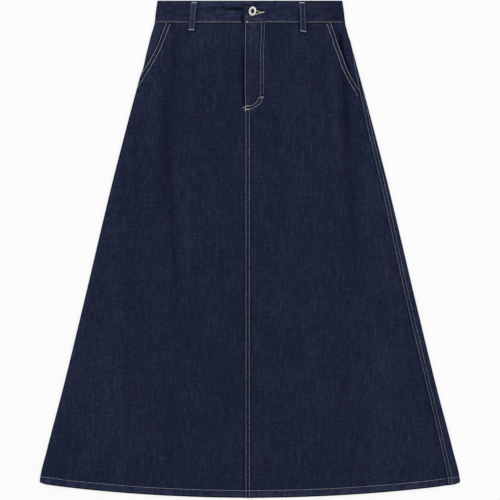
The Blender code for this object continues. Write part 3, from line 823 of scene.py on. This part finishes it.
def path_on(skin, line):
    """The path of a line of reach and fall on a skin, down in its furrow."""
    way = way_along(line)
    at = np.linspace(0, way[-1], int(way[-1] / PATH_STEP) + 2)
    reach, fall = (np.interp(at, way, column)[:, None] for column in line.T)
    rows = rows_at(fall)
    depth = furrow_depth(reach, rows)
    points = skin(rows, reach, depth)[:, 0]
    return path_of(points, unit(skin(rows, reach, depth - 0.0002)[:, 0] - points))


def read(at, way, values):
    return np.stack([np.interp(at, way, column) for column in values.T], axis=1)


def stitches(path, seed, radius=BOLD_THREAD):
    """Stitches one after the other along a path, none quite like the next."""
    points, up, way = path
    at = np.arange(STITCH_PITCH / 2, way[-1] - STITCH_LENGTH / 2, STITCH_PITCH)
    order = np.arange(len(at))
    at = at + UNEVEN_PITCH * scatter(order, 1, seed)
    half = STITCH_LENGTH / 2 * (1 + UNEVEN_LENGTH * scatter(order, 2, seed))
    outward = unit(read(at, way, up))
    along = unit(read(at + half, way, points) - read(at - half, way, points))
    across = np.cross(outward, along)
    along = unit(along + across * (UNEVEN_TURN * scatter(order, 3, seed))[:, None])
    centre = read(at, way, points) + across * (UNEVEN_LINE * scatter(order, 4, seed))[:, None]
    return centre, along, outward, 2 * half, np.full(len(at), radius)


def tack(path, seed, width, lean=0.25):
    """Close bars of thread across a path, as a bartack or a buttonhole has."""
    points, up, way = path
    at = np.arange(TACK_PITCH / 2, way[-1], TACK_PITCH)
    order = np.arange(len(at))
    outward = unit(read(at, way, up))
    forward = unit(read(at + TACK_PITCH / 2, way, points) - read(at - TACK_PITCH / 2, way, points))
    sway = lean * np.where(order % 2 == 0, 1.0, -1.0)
    along = unit(np.cross(outward, forward) + forward * sway[:, None])
    length = width * (1 + UNEVEN_TACK * scatter(order, 5, seed))
    centre = read(at, way, points) + outward * TACK_LIFT
    return centre, along, outward, length, np.full(len(at), TACK_THREAD)


def thread_piece(name, runs, finish):
    """One piece of all the threads in the runs: each a round bar that dives into the cloth at both ends."""
    centre, along, up, length, radius = (np.concatenate(part) for part in zip(*runs))
    turn = np.linspace(0, 2 * math.pi, THREAD_SIDES, endpoint=False)
    lengthwise = np.repeat(RING_AT, THREAD_SIDES)
    sideways = radius[:, None] * np.outer(RING_RADIUS, np.cos(turn)).ravel()
    height = radius[:, None] * (np.outer(RING_RADIUS, np.sin(turn)) + RING_HEIGHT[:, None]).ravel()
    points = (
        centre[:, None]
        + along[:, None] * (length[:, None] / 2 * lengthwise)[..., None]
        + np.cross(along, up)[:, None] * sideways[..., None]
        + up[:, None] * height[..., None]
    )
    bar = bar_faces(len(RING_AT), THREAD_SIDES)
    starts = range(0, points.size // 3, len(lengthwise))
    faces = [[corner + start for corner in face] for start in starts for face in bar]
    piece = mesh_piece(name, points, faces, finish)
    return piece


# ---------------- how pale or dark the cloth is: dye, wear, and painted light and shade

# Painted shade in the folds' and creases' hollows and painted light on their ridges, per metre of their
# height
FOLD_LIGHT_AND_SHADE, CREASE_LIGHT_AND_SHADE = 90, 380


def strips(at, *rows):
    """Soft strips, each a tone, its middle and its half width."""
    return sum(tone * ridge(at - middle, half_width) for tone, middle, half_width in rows)


def patch(row, x, drop):
    return row.tone * ridge(x - row.x, row.half_x) * ridge(drop - row.drop, row.half_drop)


def hem_tone(x, rows):
    """The turned hem: paler rolls where the seam pulls, a painted highlight near its edge, and painted shade
    on its edge.
    """
    above_edge = BODY_LENGTH - rows.fall
    rolls = 0.38 + 0.12 * ease(-0.01, 0.03, x) + 0.38 * noise(x / 0.0055 + rows.fall / 0.016, 0, 2)
    turned_up = ease(HEM_STITCH, HEM_STITCH - 0.002, above_edge)
    return turned_up * rolls + strips(above_edge, (0.55, 0.0036, 0.0011), (-3.8, 0.0006, 0.0013))


def patches_and_painted_light(x, drop):
    """The front's broad patches, partly dye and partly painted light and shade; painted light and shade at
    its soft edges; painted shade in its folds and painted light on their ridges.
    """
    tone = 0.03 * noise(x / 0.03, drop / 0.075, 7) + sum(patch(row, x, drop) for row in DYE_AND_PAINTED_LIGHT_PATCHES)
    for step in STEPS:
        beyond = step.side * (x - step.x)
        ends = ease(0, 0.07, drop - step.drop_top) * ease(0, 0.07, step.drop_end - drop)
        tone = tone + step.tone * ease(0.0, 0.005, beyond) * ridge(beyond, step.reach) * ends
    folds, creases = (sum(fold_height(fold, x, drop) for fold in rows) for rows in (FOLDS, CREASES))
    return tone + FOLD_LIGHT_AND_SHADE * folds + CREASE_LIGHT_AND_SHADE * creases


def loop_x(loop, share):
    """The middle of a loop at a share of its length."""
    return loop.x_top + share * (loop.x_end - loop.x_top)


def loop_shade(x, drop):
    """The shade beside the belt loops: on the side towards the middle, below the end, and outside it."""
    shade = 0 * x
    for loop in LOOPS:
        share = (drop - loop.drop_top) / (loop.drop_end - loop.drop_top)
        inward = -np.sign(loop.x_top) * (x - loop_x(loop, share)) - loop.width / 2
        inner_side = ridge(inward - 0.0016, 0.0026) * ease(1.03, 0.97, share)
        end = ridge(share - 1.03, 0.028) * ease(0.004, 0.0, inward) * ease(-0.0165, -0.0125, inward)
        low_part = ease(0.7, 0.85, share) * ease(1.06, 1.0, share)
        outer_side = ridge(inward + loop.width + 0.0014, 0.0022) * low_part
        shade = shade + 0.6 * inner_side + 0.9 * end + 0.7 * outer_side
    return shade


def panel_tones(rows, reach, outer):
    """The front's patches of dye and painted light and shade, painted shadow under the waistband with a
    painted highlight below it, the hem, the shade beside the belt loops, and painted light and shade on the
    side folds' rims.
    """
    x, drop = outer[..., 0], WAIST_Y - outer[..., 1]
    inside = rows.width - np.abs(x)
    # Painted shadow just under the waistband, and a painted highlight just below it
    top = strips(rows.fall, (-1.0, 0.001, 0.0012), (0.35, 0.0034, 0.0012))
    # Painted light near the side folds' rims, and painted shade on their edge
    rim = 0.1 * ease(0.03, 0.01, inside) + strips(inside, (0.22, 0.0046, 0.0024), (-0.3, 0.0016, 0.0016))
    return hem_tone(x, rows) + top - loop_shade(x, drop) + patches_and_painted_light(x, drop) + rim


def front_left_tones(rows, reach, outer):
    """Painted shade in the furrow between the centre front's lines and on its far side, painted shade beside
    the fly's inner line and along the lapped side seam, and the fly's rubbed and mottled cloth.
    """
    x, drop = outer[..., 0], WAIST_Y - outer[..., 1]
    below_fly = ease(0.19, 0.212, drop)
    furrow_shade = strips(x, (-0.45, -0.0048, 0.001), (-0.3, 0.0024, 0.0022))
    in_fly = ease(0.004, -0.004, beyond_fly(x, drop)) * (1 - below_fly)
    mottled = 0.04 + 0.18 * noise(x / 0.006, drop / 0.009, 8)
    fly_line_shade = -0.3 * ridge(to_line(x, drop, spline(FLY_INNER) - (0.0034, 0.002)), 0.0018) * (x > -0.002)
    seam_shadow = -0.5 * ridge(left_seam(rows) - reach - 0.0008, 0.0013)
    fly = below_fly * furrow_shade + in_fly * mottled
    return panel_tones(rows, reach, outer) + fly + fly_line_shade + seam_shadow


def front_right_tones(rows, reach, outer):
    """Shade along the lapped edge: thin and deep beside the fly, wider halfway down it."""
    drop = WAIST_Y - outer[..., 1]
    edge = 0.5 * ease(0.075, 0.1, drop) * ridge(reach - 0.0104, 0.0012)
    deep = 1.5 * ease(0.206, 0.202, drop) * ease(0.08, 0.105, drop) * ridge(reach - 0.0126, 0.0017)
    wide = 0.5 * ridge(drop - 0.125, 0.034) * ridge(reach - 0.017, 0.0048)
    return panel_tones(rows, reach, outer) - edge - deep - wide


def back_left_tones(rows, reach, outer):
    return panel_tones(rows, reach, outer) + 0.14 * ridge(reach - left_seam(rows) - 0.0052, 0.005)


def shade_left(fall, beyond):
    """The left pocket stands open: shade across it near the top, and deep just inside its mouth below."""
    deep = 2.9 * ease(0.029, 0.042, fall) * ease(0.096, 0.08, fall)
    below = 0.001 * ease(0.04, 0.07, fall)
    wide = 1.5 * ridge(fall - 0.027, 0.013) * ridge(beyond - 0.0082, 0.0042)
    narrow = ridge(beyond - 0.0026 + below, 0.0036 - 1.2 * below)
    return 0.15 - deep * narrow - wide - 0.3 * ridge(beyond, 0.004)


def shade_right(fall, beyond):
    return 0.4 - 1.3 * ease(-0.004, 0.01, fall) * ridge(beyond - 0.0004, 0.0017)


# ---------------- panels

def fold_zone(row):
    flat = row.width - FOLD_RADIUS
    return flat, flat + FOLD_ARC, 0.001


def build_front_left():
    def reaches(row):
        tongue = min(SIDE_TONGUE, row.width - FOLD_RADIUS - GAP - left_seam(row))
        end = front_end(MOUTH_LEFT, row, left_seam(row) + tongue)
        zones = [(CF_EDGE_X, 0.012, 0.001), (0.017, 0.031, 0.0014), (end - 0.012, end, 0.0011)]
        return spaced(CF_EDGE_X, end, 118, zones, 0.0048)

    def walls(rows, reach):
        seam = left_seam(rows)
        return thinned(rows, ease(seam - 0.02, seam - 0.008, reach))

    tacks = [thread_piece("tacks_front", front_tack_runs(), PALE_ECRU)]
    panel(
        "front_left", "front_panel_left", front_left_skin, reaches, walls, front_left_tones,
        FRONT_LEFT_LINES, 1,
    )


def build_front_right():
    def reaches(row):
        end = front_end(MOUTH_RIGHT, row, right_seam(row) + SIDE_TONGUE)
        zones = [(-CF_TONGUE_X, 0.014, 0.0018), (end - 0.012, end, 0.0011), fold_zone(row)]
        return spaced(-CF_TONGUE_X, end, 118, zones, 0.0048)

    def walls(rows, reach):
        seam = right_seam(rows)
        side = ease(seam - 0.006, seam - 0.0012, reach)
        return thinned(rows, np.maximum(side, 1 - ease(-CF_EDGE_X, -CF_EDGE_X + 0.004, reach)))

    panel(
        "front_right", "front_panel_right", front_right_skin, reaches, walls, front_right_tones,
        FRONT_RIGHT_LINES, 8,
    )


def build_back_left():
    def reaches(row):
        start, end = left_seam(row), cb_edge(row)
        zones = [(start, start + 0.012, 0.0011), fold_zone(row), (end - 0.012, end, 0.0015)]
        return spaced(start, end, 110, zones, 0.0055)

    panel(
        "back_left", "back_panel_left", back_left_skin, reaches, lambda rows, reach: wall_at(rows),
        back_left_tones, BACK_LEFT_LINES, 11,
    )


def build_back_right():
    def reaches(row):
        start, middle = right_seam(row), back_middle(row)
        end = middle + CB_TONGUE_X
        zones = [(start, start + 0.01, 0.002), (middle + CB_EDGE_X - CB_RAMP, end, 0.0016)]
        return spaced(start, end, 84, zones, 0.0065)

    def walls(rows, reach):
        return thinned(rows, cb_ramp(rows, reach))

    panel(
        "back_right", "back_panel_right", back_right_skin, reaches, walls, panel_tones,
        BACK_RIGHT_LINES, 16,
    )


def build_facing(side_name, side, edge, seam_of, ramp, tone_of):
    """The hip cloth behind a pocket's mouth, down to where the mouth meets the side seam."""
    tried = np.linspace(SLIT, MOUTH_END_FALL, 300)
    meeting = tried[np.argmax(mouth(edge, rows_at(tried)) > seam_of(rows_at(tried)))]

    def reaches(row):
        closing = ease(meeting - 0.045, meeting - 0.006, row.fall)
        end = seam_of(row) + SIDE_TONGUE * (1 - closing) + 0.0015
        middle = min(mouth(edge, row), seam_of(row) - 0.002)
        zones = [(middle - 0.002, middle + 0.008, 0.0012), fold_zone(row)]
        return spaced(middle - FACING_UNDER, end, 44, zones, 0.004)

    def tones(rows, reach, outer):
        # Painted shadow along the facing's top, under the waistband
        return tone_of(rows.fall, reach - mouth(edge, rows)) - 0.8 * ridge(rows.fall, 0.002)

    panel(
        "facing_" + side_name, "pocket_facing_" + side_name, facing_skin(side, edge, seam_of, ramp), reaches,
        lambda rows, reach: CLOTH, tones, falls=np.linspace(SLIT, meeting, 70),
    )


# ---------------- waistband and belt loops

BAND_STITCH_DROP = BAND_HEIGHT - 0.0008
BAND_CREASE = spline(((-0.066, 0.0138), (-0.047, 0.0149), (-0.03, 0.0158), (-0.0115, 0.0166)))
# The steps of its section: right front with underlap, right fold, back, left fold, left front, overlap
BAND_STEPS = (70, 13, 79, 12, 43, 60)
BAND_OVERLAP_X = 0.066
# Painted light on the overlap: near its end at the top and bottom, and below the button
OVERLAP_PAINTED_LIGHT = table(
    "x drop half_x half_drop tone",
    (-0.005, 0.0025, 0.004, 0.0035, 0.8), (-0.005, 0.031, 0.004, 0.0045, 0.8),
    (0.011, 0.03, 0.016, 0.003, 0.45), (0.012, 0.036, 0.011, 0.0035, 0.45),
)


def band_relief(x, drop, on_front):
    """Ripples of the waistband: a long crease behind the overlap's end, puckers by the seam."""
    distance = to_line(x, drop, BAND_CREASE)
    crease = -0.001 * ridge(distance, 0.0022) + 0.0005 * ridge(distance, 0.006)
    seam = 0.00022 * noise(x / 0.0075, 0, 11) * ridge(BAND_HEIGHT - drop, 0.009)
    loose = 0.00022 * noise(x / 0.03, drop / 0.016, 12)
    return on_front * (crease * (x < OVERLAP_END_X) + seam + loose)


def band_level(x, drop, over):
    """The height of the band's front, of its overlap where over is 1."""
    inside = curve(OUTLINE, drop) - FOLD_RADIUS - np.abs(x)
    rise = over * OVERLAP_RISE * (1 - ease(*OVERLAP_FALL_X, x))
    return 2 * FOLD_RADIUS + rise + band_relief(x, drop, ease(0, 0.01, inside))


def overlap_sag(x):
    return OVERLAP_SAG * (1 - ease(0.0, 0.045, x))


def band_skin(drop):
    """The band's outer face and its outward directions at one drop, starting at the underlap's end."""
    flat = curve(OUTLINE, drop) - FOLD_RADIUS
    turn = np.linspace(0, math.pi, BAND_STEPS[1] + 1)
    facing = np.repeat((0, 0, math.pi, 0, 0, 0), BAND_STEPS)
    section = np.repeat(np.arange(6), BAND_STEPS)
    facing[section == 1], facing[section == 3] = turn[1:], turn[-2:0:-1]
    middles = (
        np.linspace(UNDERLAP_END_X, -flat, BAND_STEPS[0]),
        np.full(BAND_STEPS[1], -flat),
        np.linspace(-flat, flat, BAND_STEPS[2] + 1)[1:],
        np.full(BAND_STEPS[3], flat),
        np.linspace(flat, BAND_OVERLAP_X, BAND_STEPS[4] + 1)[:-1],
        np.linspace(BAND_OVERLAP_X, OVERLAP_END_X, BAND_STEPS[5]),
    )
    middle = np.concatenate(middles)
    outward = np.stack([np.sign(middle) * np.sin(facing), 0 * middle, np.cos(facing)], axis=-1)
    x = middle + FOLD_RADIUS * outward[:, 0]
    level = band_level(x, drop + 0 * x, section > 3)
    z = np.where(facing == 0, level, FOLD_RADIUS * (1 + outward[:, 2]))
    over = ease(0.0012, 0.0022, z - 2 * FOLD_RADIUS)
    lip = BAND_LIP * ease(BAND_HEIGHT - 0.006, BAND_HEIGHT, drop) * ease(FOLD_RADIUS, 2 * FOLD_RADIUS, z)
    lip = lip + over * overlap_sag(x) * ease(BAND_HEIGHT - 0.012, BAND_HEIGHT, drop)
    lip = lip + over * OVERLAP_TOP * ease(0.004, 0.0, drop)
    return np.stack([x, WAIST_Y - drop - lip, z], axis=-1), outward


def band_tone(x, drop, in_front):
    """Painted shade in the crease, beside the overlap's end, round the button and above the buttonhole;
    painted light beside the crease, on the overlap and near the band's edges; painted shade on its top edge;
    the shade beside the belt loops; darker towards the sides.
    """
    right, above_button = ease(-0.058, -0.034, x), WAIST_Y - drop - BUTTON_Y
    crease = (0.7 + 1.6 * right) * ridge(to_line(x, drop, BAND_CREASE), 0.0023)
    overlap_shadow = 2.0 * ridge(x - OVERLAP_END_X + 0.0028, 0.0034) * ease(0.021, 0.03, drop)
    under = strips(drop, (0.28, 0.007, 0.0045), (0.35 * right, 0.0215, 0.0025)) - crease - overlap_shadow
    off_button = np.hypot((x - BUTTON_X) / 0.87, above_button) - BUTTON_RADIUS
    button_shadow = ridge(off_button - 0.0012, 0.0016) * ease(-0.008, -0.004, above_button)
    beside_hole = ridge(to_line(x, drop, HOLE_SHADE), 0.0016)
    over = sum(patch(row, x, drop) for row in OVERLAP_PAINTED_LIGHT) - 0.9 * button_shadow - 1.7 * beside_hole
    sides = 0.34 * ease(0.106, 0.12, x) + 0.42 * ridge(x + 0.133, 0.022) * ridge(drop - 0.008, 0.014)
    front = np.where(x < OVERLAP_END_X, under, over) - sides - loop_shade(x, drop)
    # Painted light near the band's lower and upper edges, and painted shade on its top edge
    band_edge_light_and_shade = strips(drop, (0.18, BAND_HEIGHT - 0.005, 0.004), (0.1, 0.004, 0.003), (-1.0, 0, 0.001))
    return band_edge_light_and_shade + 0.3 * noise(x / 0.009, drop / 0.007, 13) + in_front * front


def hole_edges(grow=0.0):
    """The buttonhole's two edges as points of x and y, from the pointed end to under the button."""
    x, half = spline(HOLE, 4).T
    return [np.stack([x, HOLE_Y + side * (half + grow)], axis=1) for side in (1, -1)]


def buttonhole_cutter():
    mesh = bpy.data.meshes.new("buttonhole_cutter")
    build = bmesh.new()
    upper, lower = hole_edges()
    low = 2 * FOLD_RADIUS + GAP / 2
    base = build.faces.new([build.verts.new((x, y, low)) for x, y in (*upper, *lower[-2:0:-1])])
    grown = bmesh.ops.extrude_face_region(build, geom=[base])["geom"]
    raised = [part for part in grown if isinstance(part, bmesh.types.BMVert)]
    bmesh.ops.translate(build, verts=raised, vec=(0, 0, 0.006))
    fill(mesh, build)
    return add("buttonhole_cutter", mesh)


def build_waistband():
    zones = [(0, 0.003, 0.001), (BAND_HEIGHT - 0.006, BAND_HEIGHT, 0.001)]
    skins = [band_skin(drop) for drop in spaced(0, BAND_HEIGHT, 26, zones, 0.003)]
    outer, outward = (np.array(part) for part in zip(*skins))
    x, y, z = np.moveaxis(outer, -1, 0)
    overlap_shadow = (np.arange(x.shape[1]) < BAND_STEPS[0]) & (x > OVERLAP_END_X)
    # Painted shade on the underlap where the overlap covers it
    tone = band_tone(x, WAIST_Y - y, z > FOLD_RADIUS) - 0.8 * overlap_shadow
    band = shell("waistband_shell", outer, outer - BAND_CLOTH * outward, BAND_DENIM, tone, bevel=0.0005)
    cutter = buttonhole_cutter()
    hole = band.modifiers.new("buttonhole", "BOOLEAN")
    hole.operation, hole.object = "DIFFERENCE", cutter
    made = bpy.data.meshes.new_from_object(band.evaluated_get(bpy.context.evaluated_depsgraph_get()))
    band.modifiers.clear()
    band.data = made
    bpy.data.objects.remove(cutter)
    threads = [
        thread_piece("stitching_waistband", waistband_runs(), BAND_THREAD),
        thread_piece("buttonhole_thread", hole_runs(), PALE_ECRU),
    ]
    length = np.linalg.norm(np.diff(outer[len(outer) // 2], axis=0), axis=1).sum()
    lay("waistband", (length, BAND_HEIGHT))


def loop_skin(loop):
    """A loop's outer face by its share of the length and its place across, from -1 to 1."""
    inward = -math.copysign(1, loop.x_top)

    def skin(share, across, under=0.0):
        drop = loop.drop_top + share * (loop.drop_end - loop.drop_top + loop.slant * across)
        flare = LOOP_FLARE * ease(0.36, 0.12, share) * np.maximum(0.0, inward * across)
        x = loop_x(loop, share) + across * loop.width / 2 + inward * flare
        crown = LOOP_CLOTH * (1 - 0.1 * across**2) + 0.00012 * noise(share * 16, across, 21)
        z = 2 * FOLD_RADIUS + curve(LOOP_RISES, share) + crown - under
        return np.stack([x, WAIST_Y - drop, z], axis=-1)

    return skin


def build_loop(loop):
    across = np.sin(np.linspace(-math.pi / 2, math.pi / 2, 17)) + np.zeros((60, 1))
    share = np.linspace(0, 1, 60)[:, None] + 0 * across
    skin = loop_skin(loop)
    tone = strips(np.abs(across), (0.38, 0.72, 0.26), (-0.15, 0, 0.22), (-0.3, 1.0, 0.08)) + loop.rubbed
    inner = skin(share, across, LOOP_CLOTH * 0.85)
    piece = shell(loop.name + "_shell", skin(share, across), inner, LOOP_DENIM, tone)
    threads = [
        thread_piece("stitching_" + loop.name, loop_runs(skin), LOOP_THREAD),
        thread_piece("tacks_" + loop.name, loop_tack_runs(skin), PALE_ECRU),
    ]
    size = (loop.width, loop.drop_end - loop.drop_top)
    lay(loop.name, size)


# ---------------- button

# The post's levels, by their share of its height and how far they spread
POST_LEVELS = ((0.0, 1.135), (0.1, 1.105), (0.22, 1.0), (1.0, 1.0))


def button_profile():
    """Half the button's section from its axis outward: back, ring, wall and sunk floor."""
    half = BUTTON_THICKNESS / 2
    floor = -half + BUTTON_FLOOR
    ring_middle, ring_half = (BUTTON_RADIUS + BUTTON_HOLE) / 2, (BUTTON_RADIUS - BUTTON_HOLE) / 2
    yield from ((0.0, -half), (BUTTON_HOLE + 0.001, -half))
    for turn in np.linspace(-math.pi * 0.3, math.pi, 29):
        flatter = math.copysign(abs(math.sin(turn)) ** 0.8, math.sin(turn))
        yield ring_middle + ring_half * math.cos(turn), half * flatter
    yield from ((BUTTON_HOLE - 0.0001, floor + 0.0004), (BUTTON_HOLE - 0.0006, floor), (0.0, floor))


def build_button():
    """The tilted ring: pale outside, brown inside its ring, and on its floor nearly black, painted shade of
    its hollow.
    """
    build = bmesh.new()
    points = [build.verts.new((radius, 0, z)) for radius, z in button_profile()]
    edges = [build.edges.new(pair) for pair in zip(points, points[1:])]
    bmesh.ops.spin(build, geom=points + edges, axis=(0, 0, 1), angle=2 * math.pi, steps=BUTTON_SIDES)
    bmesh.ops.remove_doubles(build, verts=build.verts, dist=1e-6)
    inside_floor = -BUTTON_THICKNESS / 2 + BUTTON_FLOOR / 2
    for face in build.faces:
        middle = face.calc_center_median()
        out = math.hypot(middle.x, middle.y)
        on_floor = out < BUTTON_HOLE - 0.0004 and middle.z > inside_floor
        face.material_index = 2 if on_floor else int(out < BUTTON_HOLE + 0.00005)
    lean = Matrix.Rotation(BUTTON_LEAN, 4, "Y")
    bmesh.ops.transform(build, matrix=lean, verts=build.verts)
    lowest = min(vert.co.z for vert in build.verts)
    centre = Vector((BUTTON_X, BUTTON_Y, 2 * FOLD_RADIUS + OVERLAP_RISE + GAP - lowest))
    bmesh.ops.translate(build, verts=build.verts, vec=centre)
    mesh = bpy.data.meshes.new("button_ring")
    fill(mesh, build)
    button = add_piece(mesh, PALE_METAL, BROWN_METAL, BUTTON_HOLLOW_SHADE)
    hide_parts("waist_button")
    build_post(lambda x, y: centre + lean @ Vector((x, y, inside_floor)))


def build_post(floor_at):
    """The post from the underlap up into the button's floor, with a foot that spreads on the cloth."""
    turn = np.linspace(0, 2 * math.pi, POST_SIDES, endpoint=False)
    x, y = POST_RADIUS * np.cos(turn), POST_RADIUS * np.sin(turn)
    axis = np.array((BUTTON_X, BUTTON_Y, 0))
    low = axis + np.stack([x, y, np.full(POST_SIDES, 2 * FOLD_RADIUS + GAP)], axis=-1)
    top = np.array([floor_at(*place_at) for place_at in zip(x, y)])
    levels = [(low + (top - low) * share, spread) for share, spread in POST_LEVELS]
    rings = [axis + (level - axis) * (spread, spread, 1) for level, spread in levels]
    post = mesh_piece("button_post", np.array(rings), bar_faces(len(rings), POST_SIDES), PALE_METAL)


# ---------------- stitching

def front_tack_runs():
    tacks = (
        (front_left_skin, 1, ((0.0176, 0.1838), (0.0264, 0.1828)), 0.0011),
        (front_left_skin, 1, ((-0.0088, 0.2007), (-0.0018, 0.2002)), 0.0014),
        (front_left_skin, 1, ((-0.0087, 0.207), (-0.0014, 0.2062)), 0.0017),
        (front_left_skin, 1, ((-0.0086, 0.2006), (-0.0086, 0.2106)), 0.001),
        (front_right_skin, -1, ((-0.0134, 0.2033), (-0.0116, 0.2029)), 0.0022),
    )
    for k, (skin, side, points, width) in enumerate(tacks):
        yield tack(path_on(skin, line_drawn(side, points)), 31 + k, width)


def waistband_runs():
    flat = curve(OUTLINE, BAND_HEIGHT) - FOLD_RADIUS
    lines = (
        (43, -flat, LOOPS[0].x_end, 0, BOLD_THREAD),
        (41, LOOPS[0].x_end, OVERLAP_END_X - 0.002, 0, HEAVY_THREAD),
        (42, OVERLAP_END_X + 0.002, flat, 1, HEAVY_THREAD),
    )
    for seed, start, end, over, thread in lines:
        x = np.arange(start, end, 0.003)
        y = WAIST_Y - (BAND_STITCH_DROP + over * overlap_sag(x))
        level = band_level(x, BAND_STITCH_DROP + 0 * x, over)
        yield stitches(path_of(np.stack([x, y, level], axis=-1)), seed, thread)


def hole_runs():
    """Satin thread along the buttonhole's two edges, and closed together beyond its pointed end."""
    upper, lower = hole_edges(0.0005)
    lines = (upper, 0.0015), (lower, 0.002), (HOLE_TAIL, 0.0021), (OVERLAP_TACK, 0.0024)
    for k, (line, width) in enumerate(lines):
        x, y = spline(line, 12).T
        points = np.stack([x, y, band_level(x, WAIST_Y - y, 1) + 0.0001], axis=-1)
        yield tack(path_of(points), 51 + k, width, lean=0.1)


def loop_runs(skin):
    share = np.linspace(0.02, 0.98, 60)
    for seed, across in ((61, -0.62), (62, 0.62)):
        yield stitches(path_of(skin(share, across + 0 * share)), seed)


def loop_tack_runs(skin):
    for seed, share, half in ((63, 0.057, 0.76), (64, 0.953, 0.87)):
        across = np.linspace(-half, half, 12)
        yield tack(path_of(skin(share + 0 * across, across)), seed, 0.0014)


# ---------------- floor, light and camera

PHOTO_SIZE = 500
METRES_PER_PIXEL = 0.001899
VIEW_CENTRE = (0.0002, -0.0016)
LENS, SENSOR = 120.0, 36.0
FLOOR_HALF, FLOOR_LEVEL = 30, -0.0001
FLOOR_COLOUR = (0.94, 0.94, 0.94, 1)
FLOOR_GLOW, SKY_STRENGTH = 0.81, 0.62
LAMP_SIZE = 1.8


def build_floor():
    mesh = bpy.data.meshes.new("floor")
    corners = [(FLOOR_HALF * x, FLOOR_HALF * y, 0) for x, y in ((-1, -1), (1, -1), (1, 1), (-1, 1))]
    mesh.from_pydata(corners, [], [(0, 1, 2, 3)])
    grey = {"Base_Color": (0.25, 0.25, 0.25, 1), "Roughness": 0.9, "Specular_IOR_Level": 0.0}
    glow = {"Emission_Color": FLOOR_COLOUR, "Emission_Strength": FLOOR_GLOW}
    mesh.materials.append(Tree("floor").finish(**grey, **glow))
    floor = add("floor", mesh)
    floor.location.z = FLOOR_LEVEL


def build_light():
    world = bpy.data.worlds.new("studio")
    world.use_nodes = True
    sky = world.node_tree.nodes["Background"].inputs
    sky["Color"].default_value = FLOOR_COLOUR
    sky["Strength"].default_value = SKY_STRENGTH
    bpy.context.scene.world = world
    for name, place_at, power in (("key", (-1.6, 1.9, 2.6), 26), ("fill", (1.7, -0.6, 2.4), 14)):
        light = bpy.data.lights.new(name, "AREA")
        light.shape = "DISK"
        light.size = LAMP_SIZE
        light.energy = power
        lamp = add(name, light)
        lamp.location = place_at
        lamp.rotation_euler = (-Vector(place_at)).to_track_quat("-Z", "Y").to_euler()


def build_camera():
    camera = bpy.data.cameras.new("camera")
    camera.lens, camera.sensor_width = LENS, SENSOR
    viewer = add("camera", camera)
    away = PHOTO_SIZE * METRES_PER_PIXEL * LENS / SENSOR
    viewer.location = (*VIEW_CENTRE, away + FRONT_LEVEL)
    bpy.context.scene.camera = viewer
    bpy.context.scene.view_settings.view_transform = "Standard"


def main():
    build_camera()
    build_floor()
    build_light()
    build_front_left()
    build_front_right()
    build_back_left()
    build_back_right()
    build_facing("left", 1, MOUTH_LEFT, left_seam, FRONT_RAMP, shade_left)
    build_facing("right", -1, MOUTH_RIGHT, right_seam, HIDDEN_RAMP, shade_right)
    build_waistband()
    for loop in LOOPS:
        build_loop(loop)
    build_button()


main()
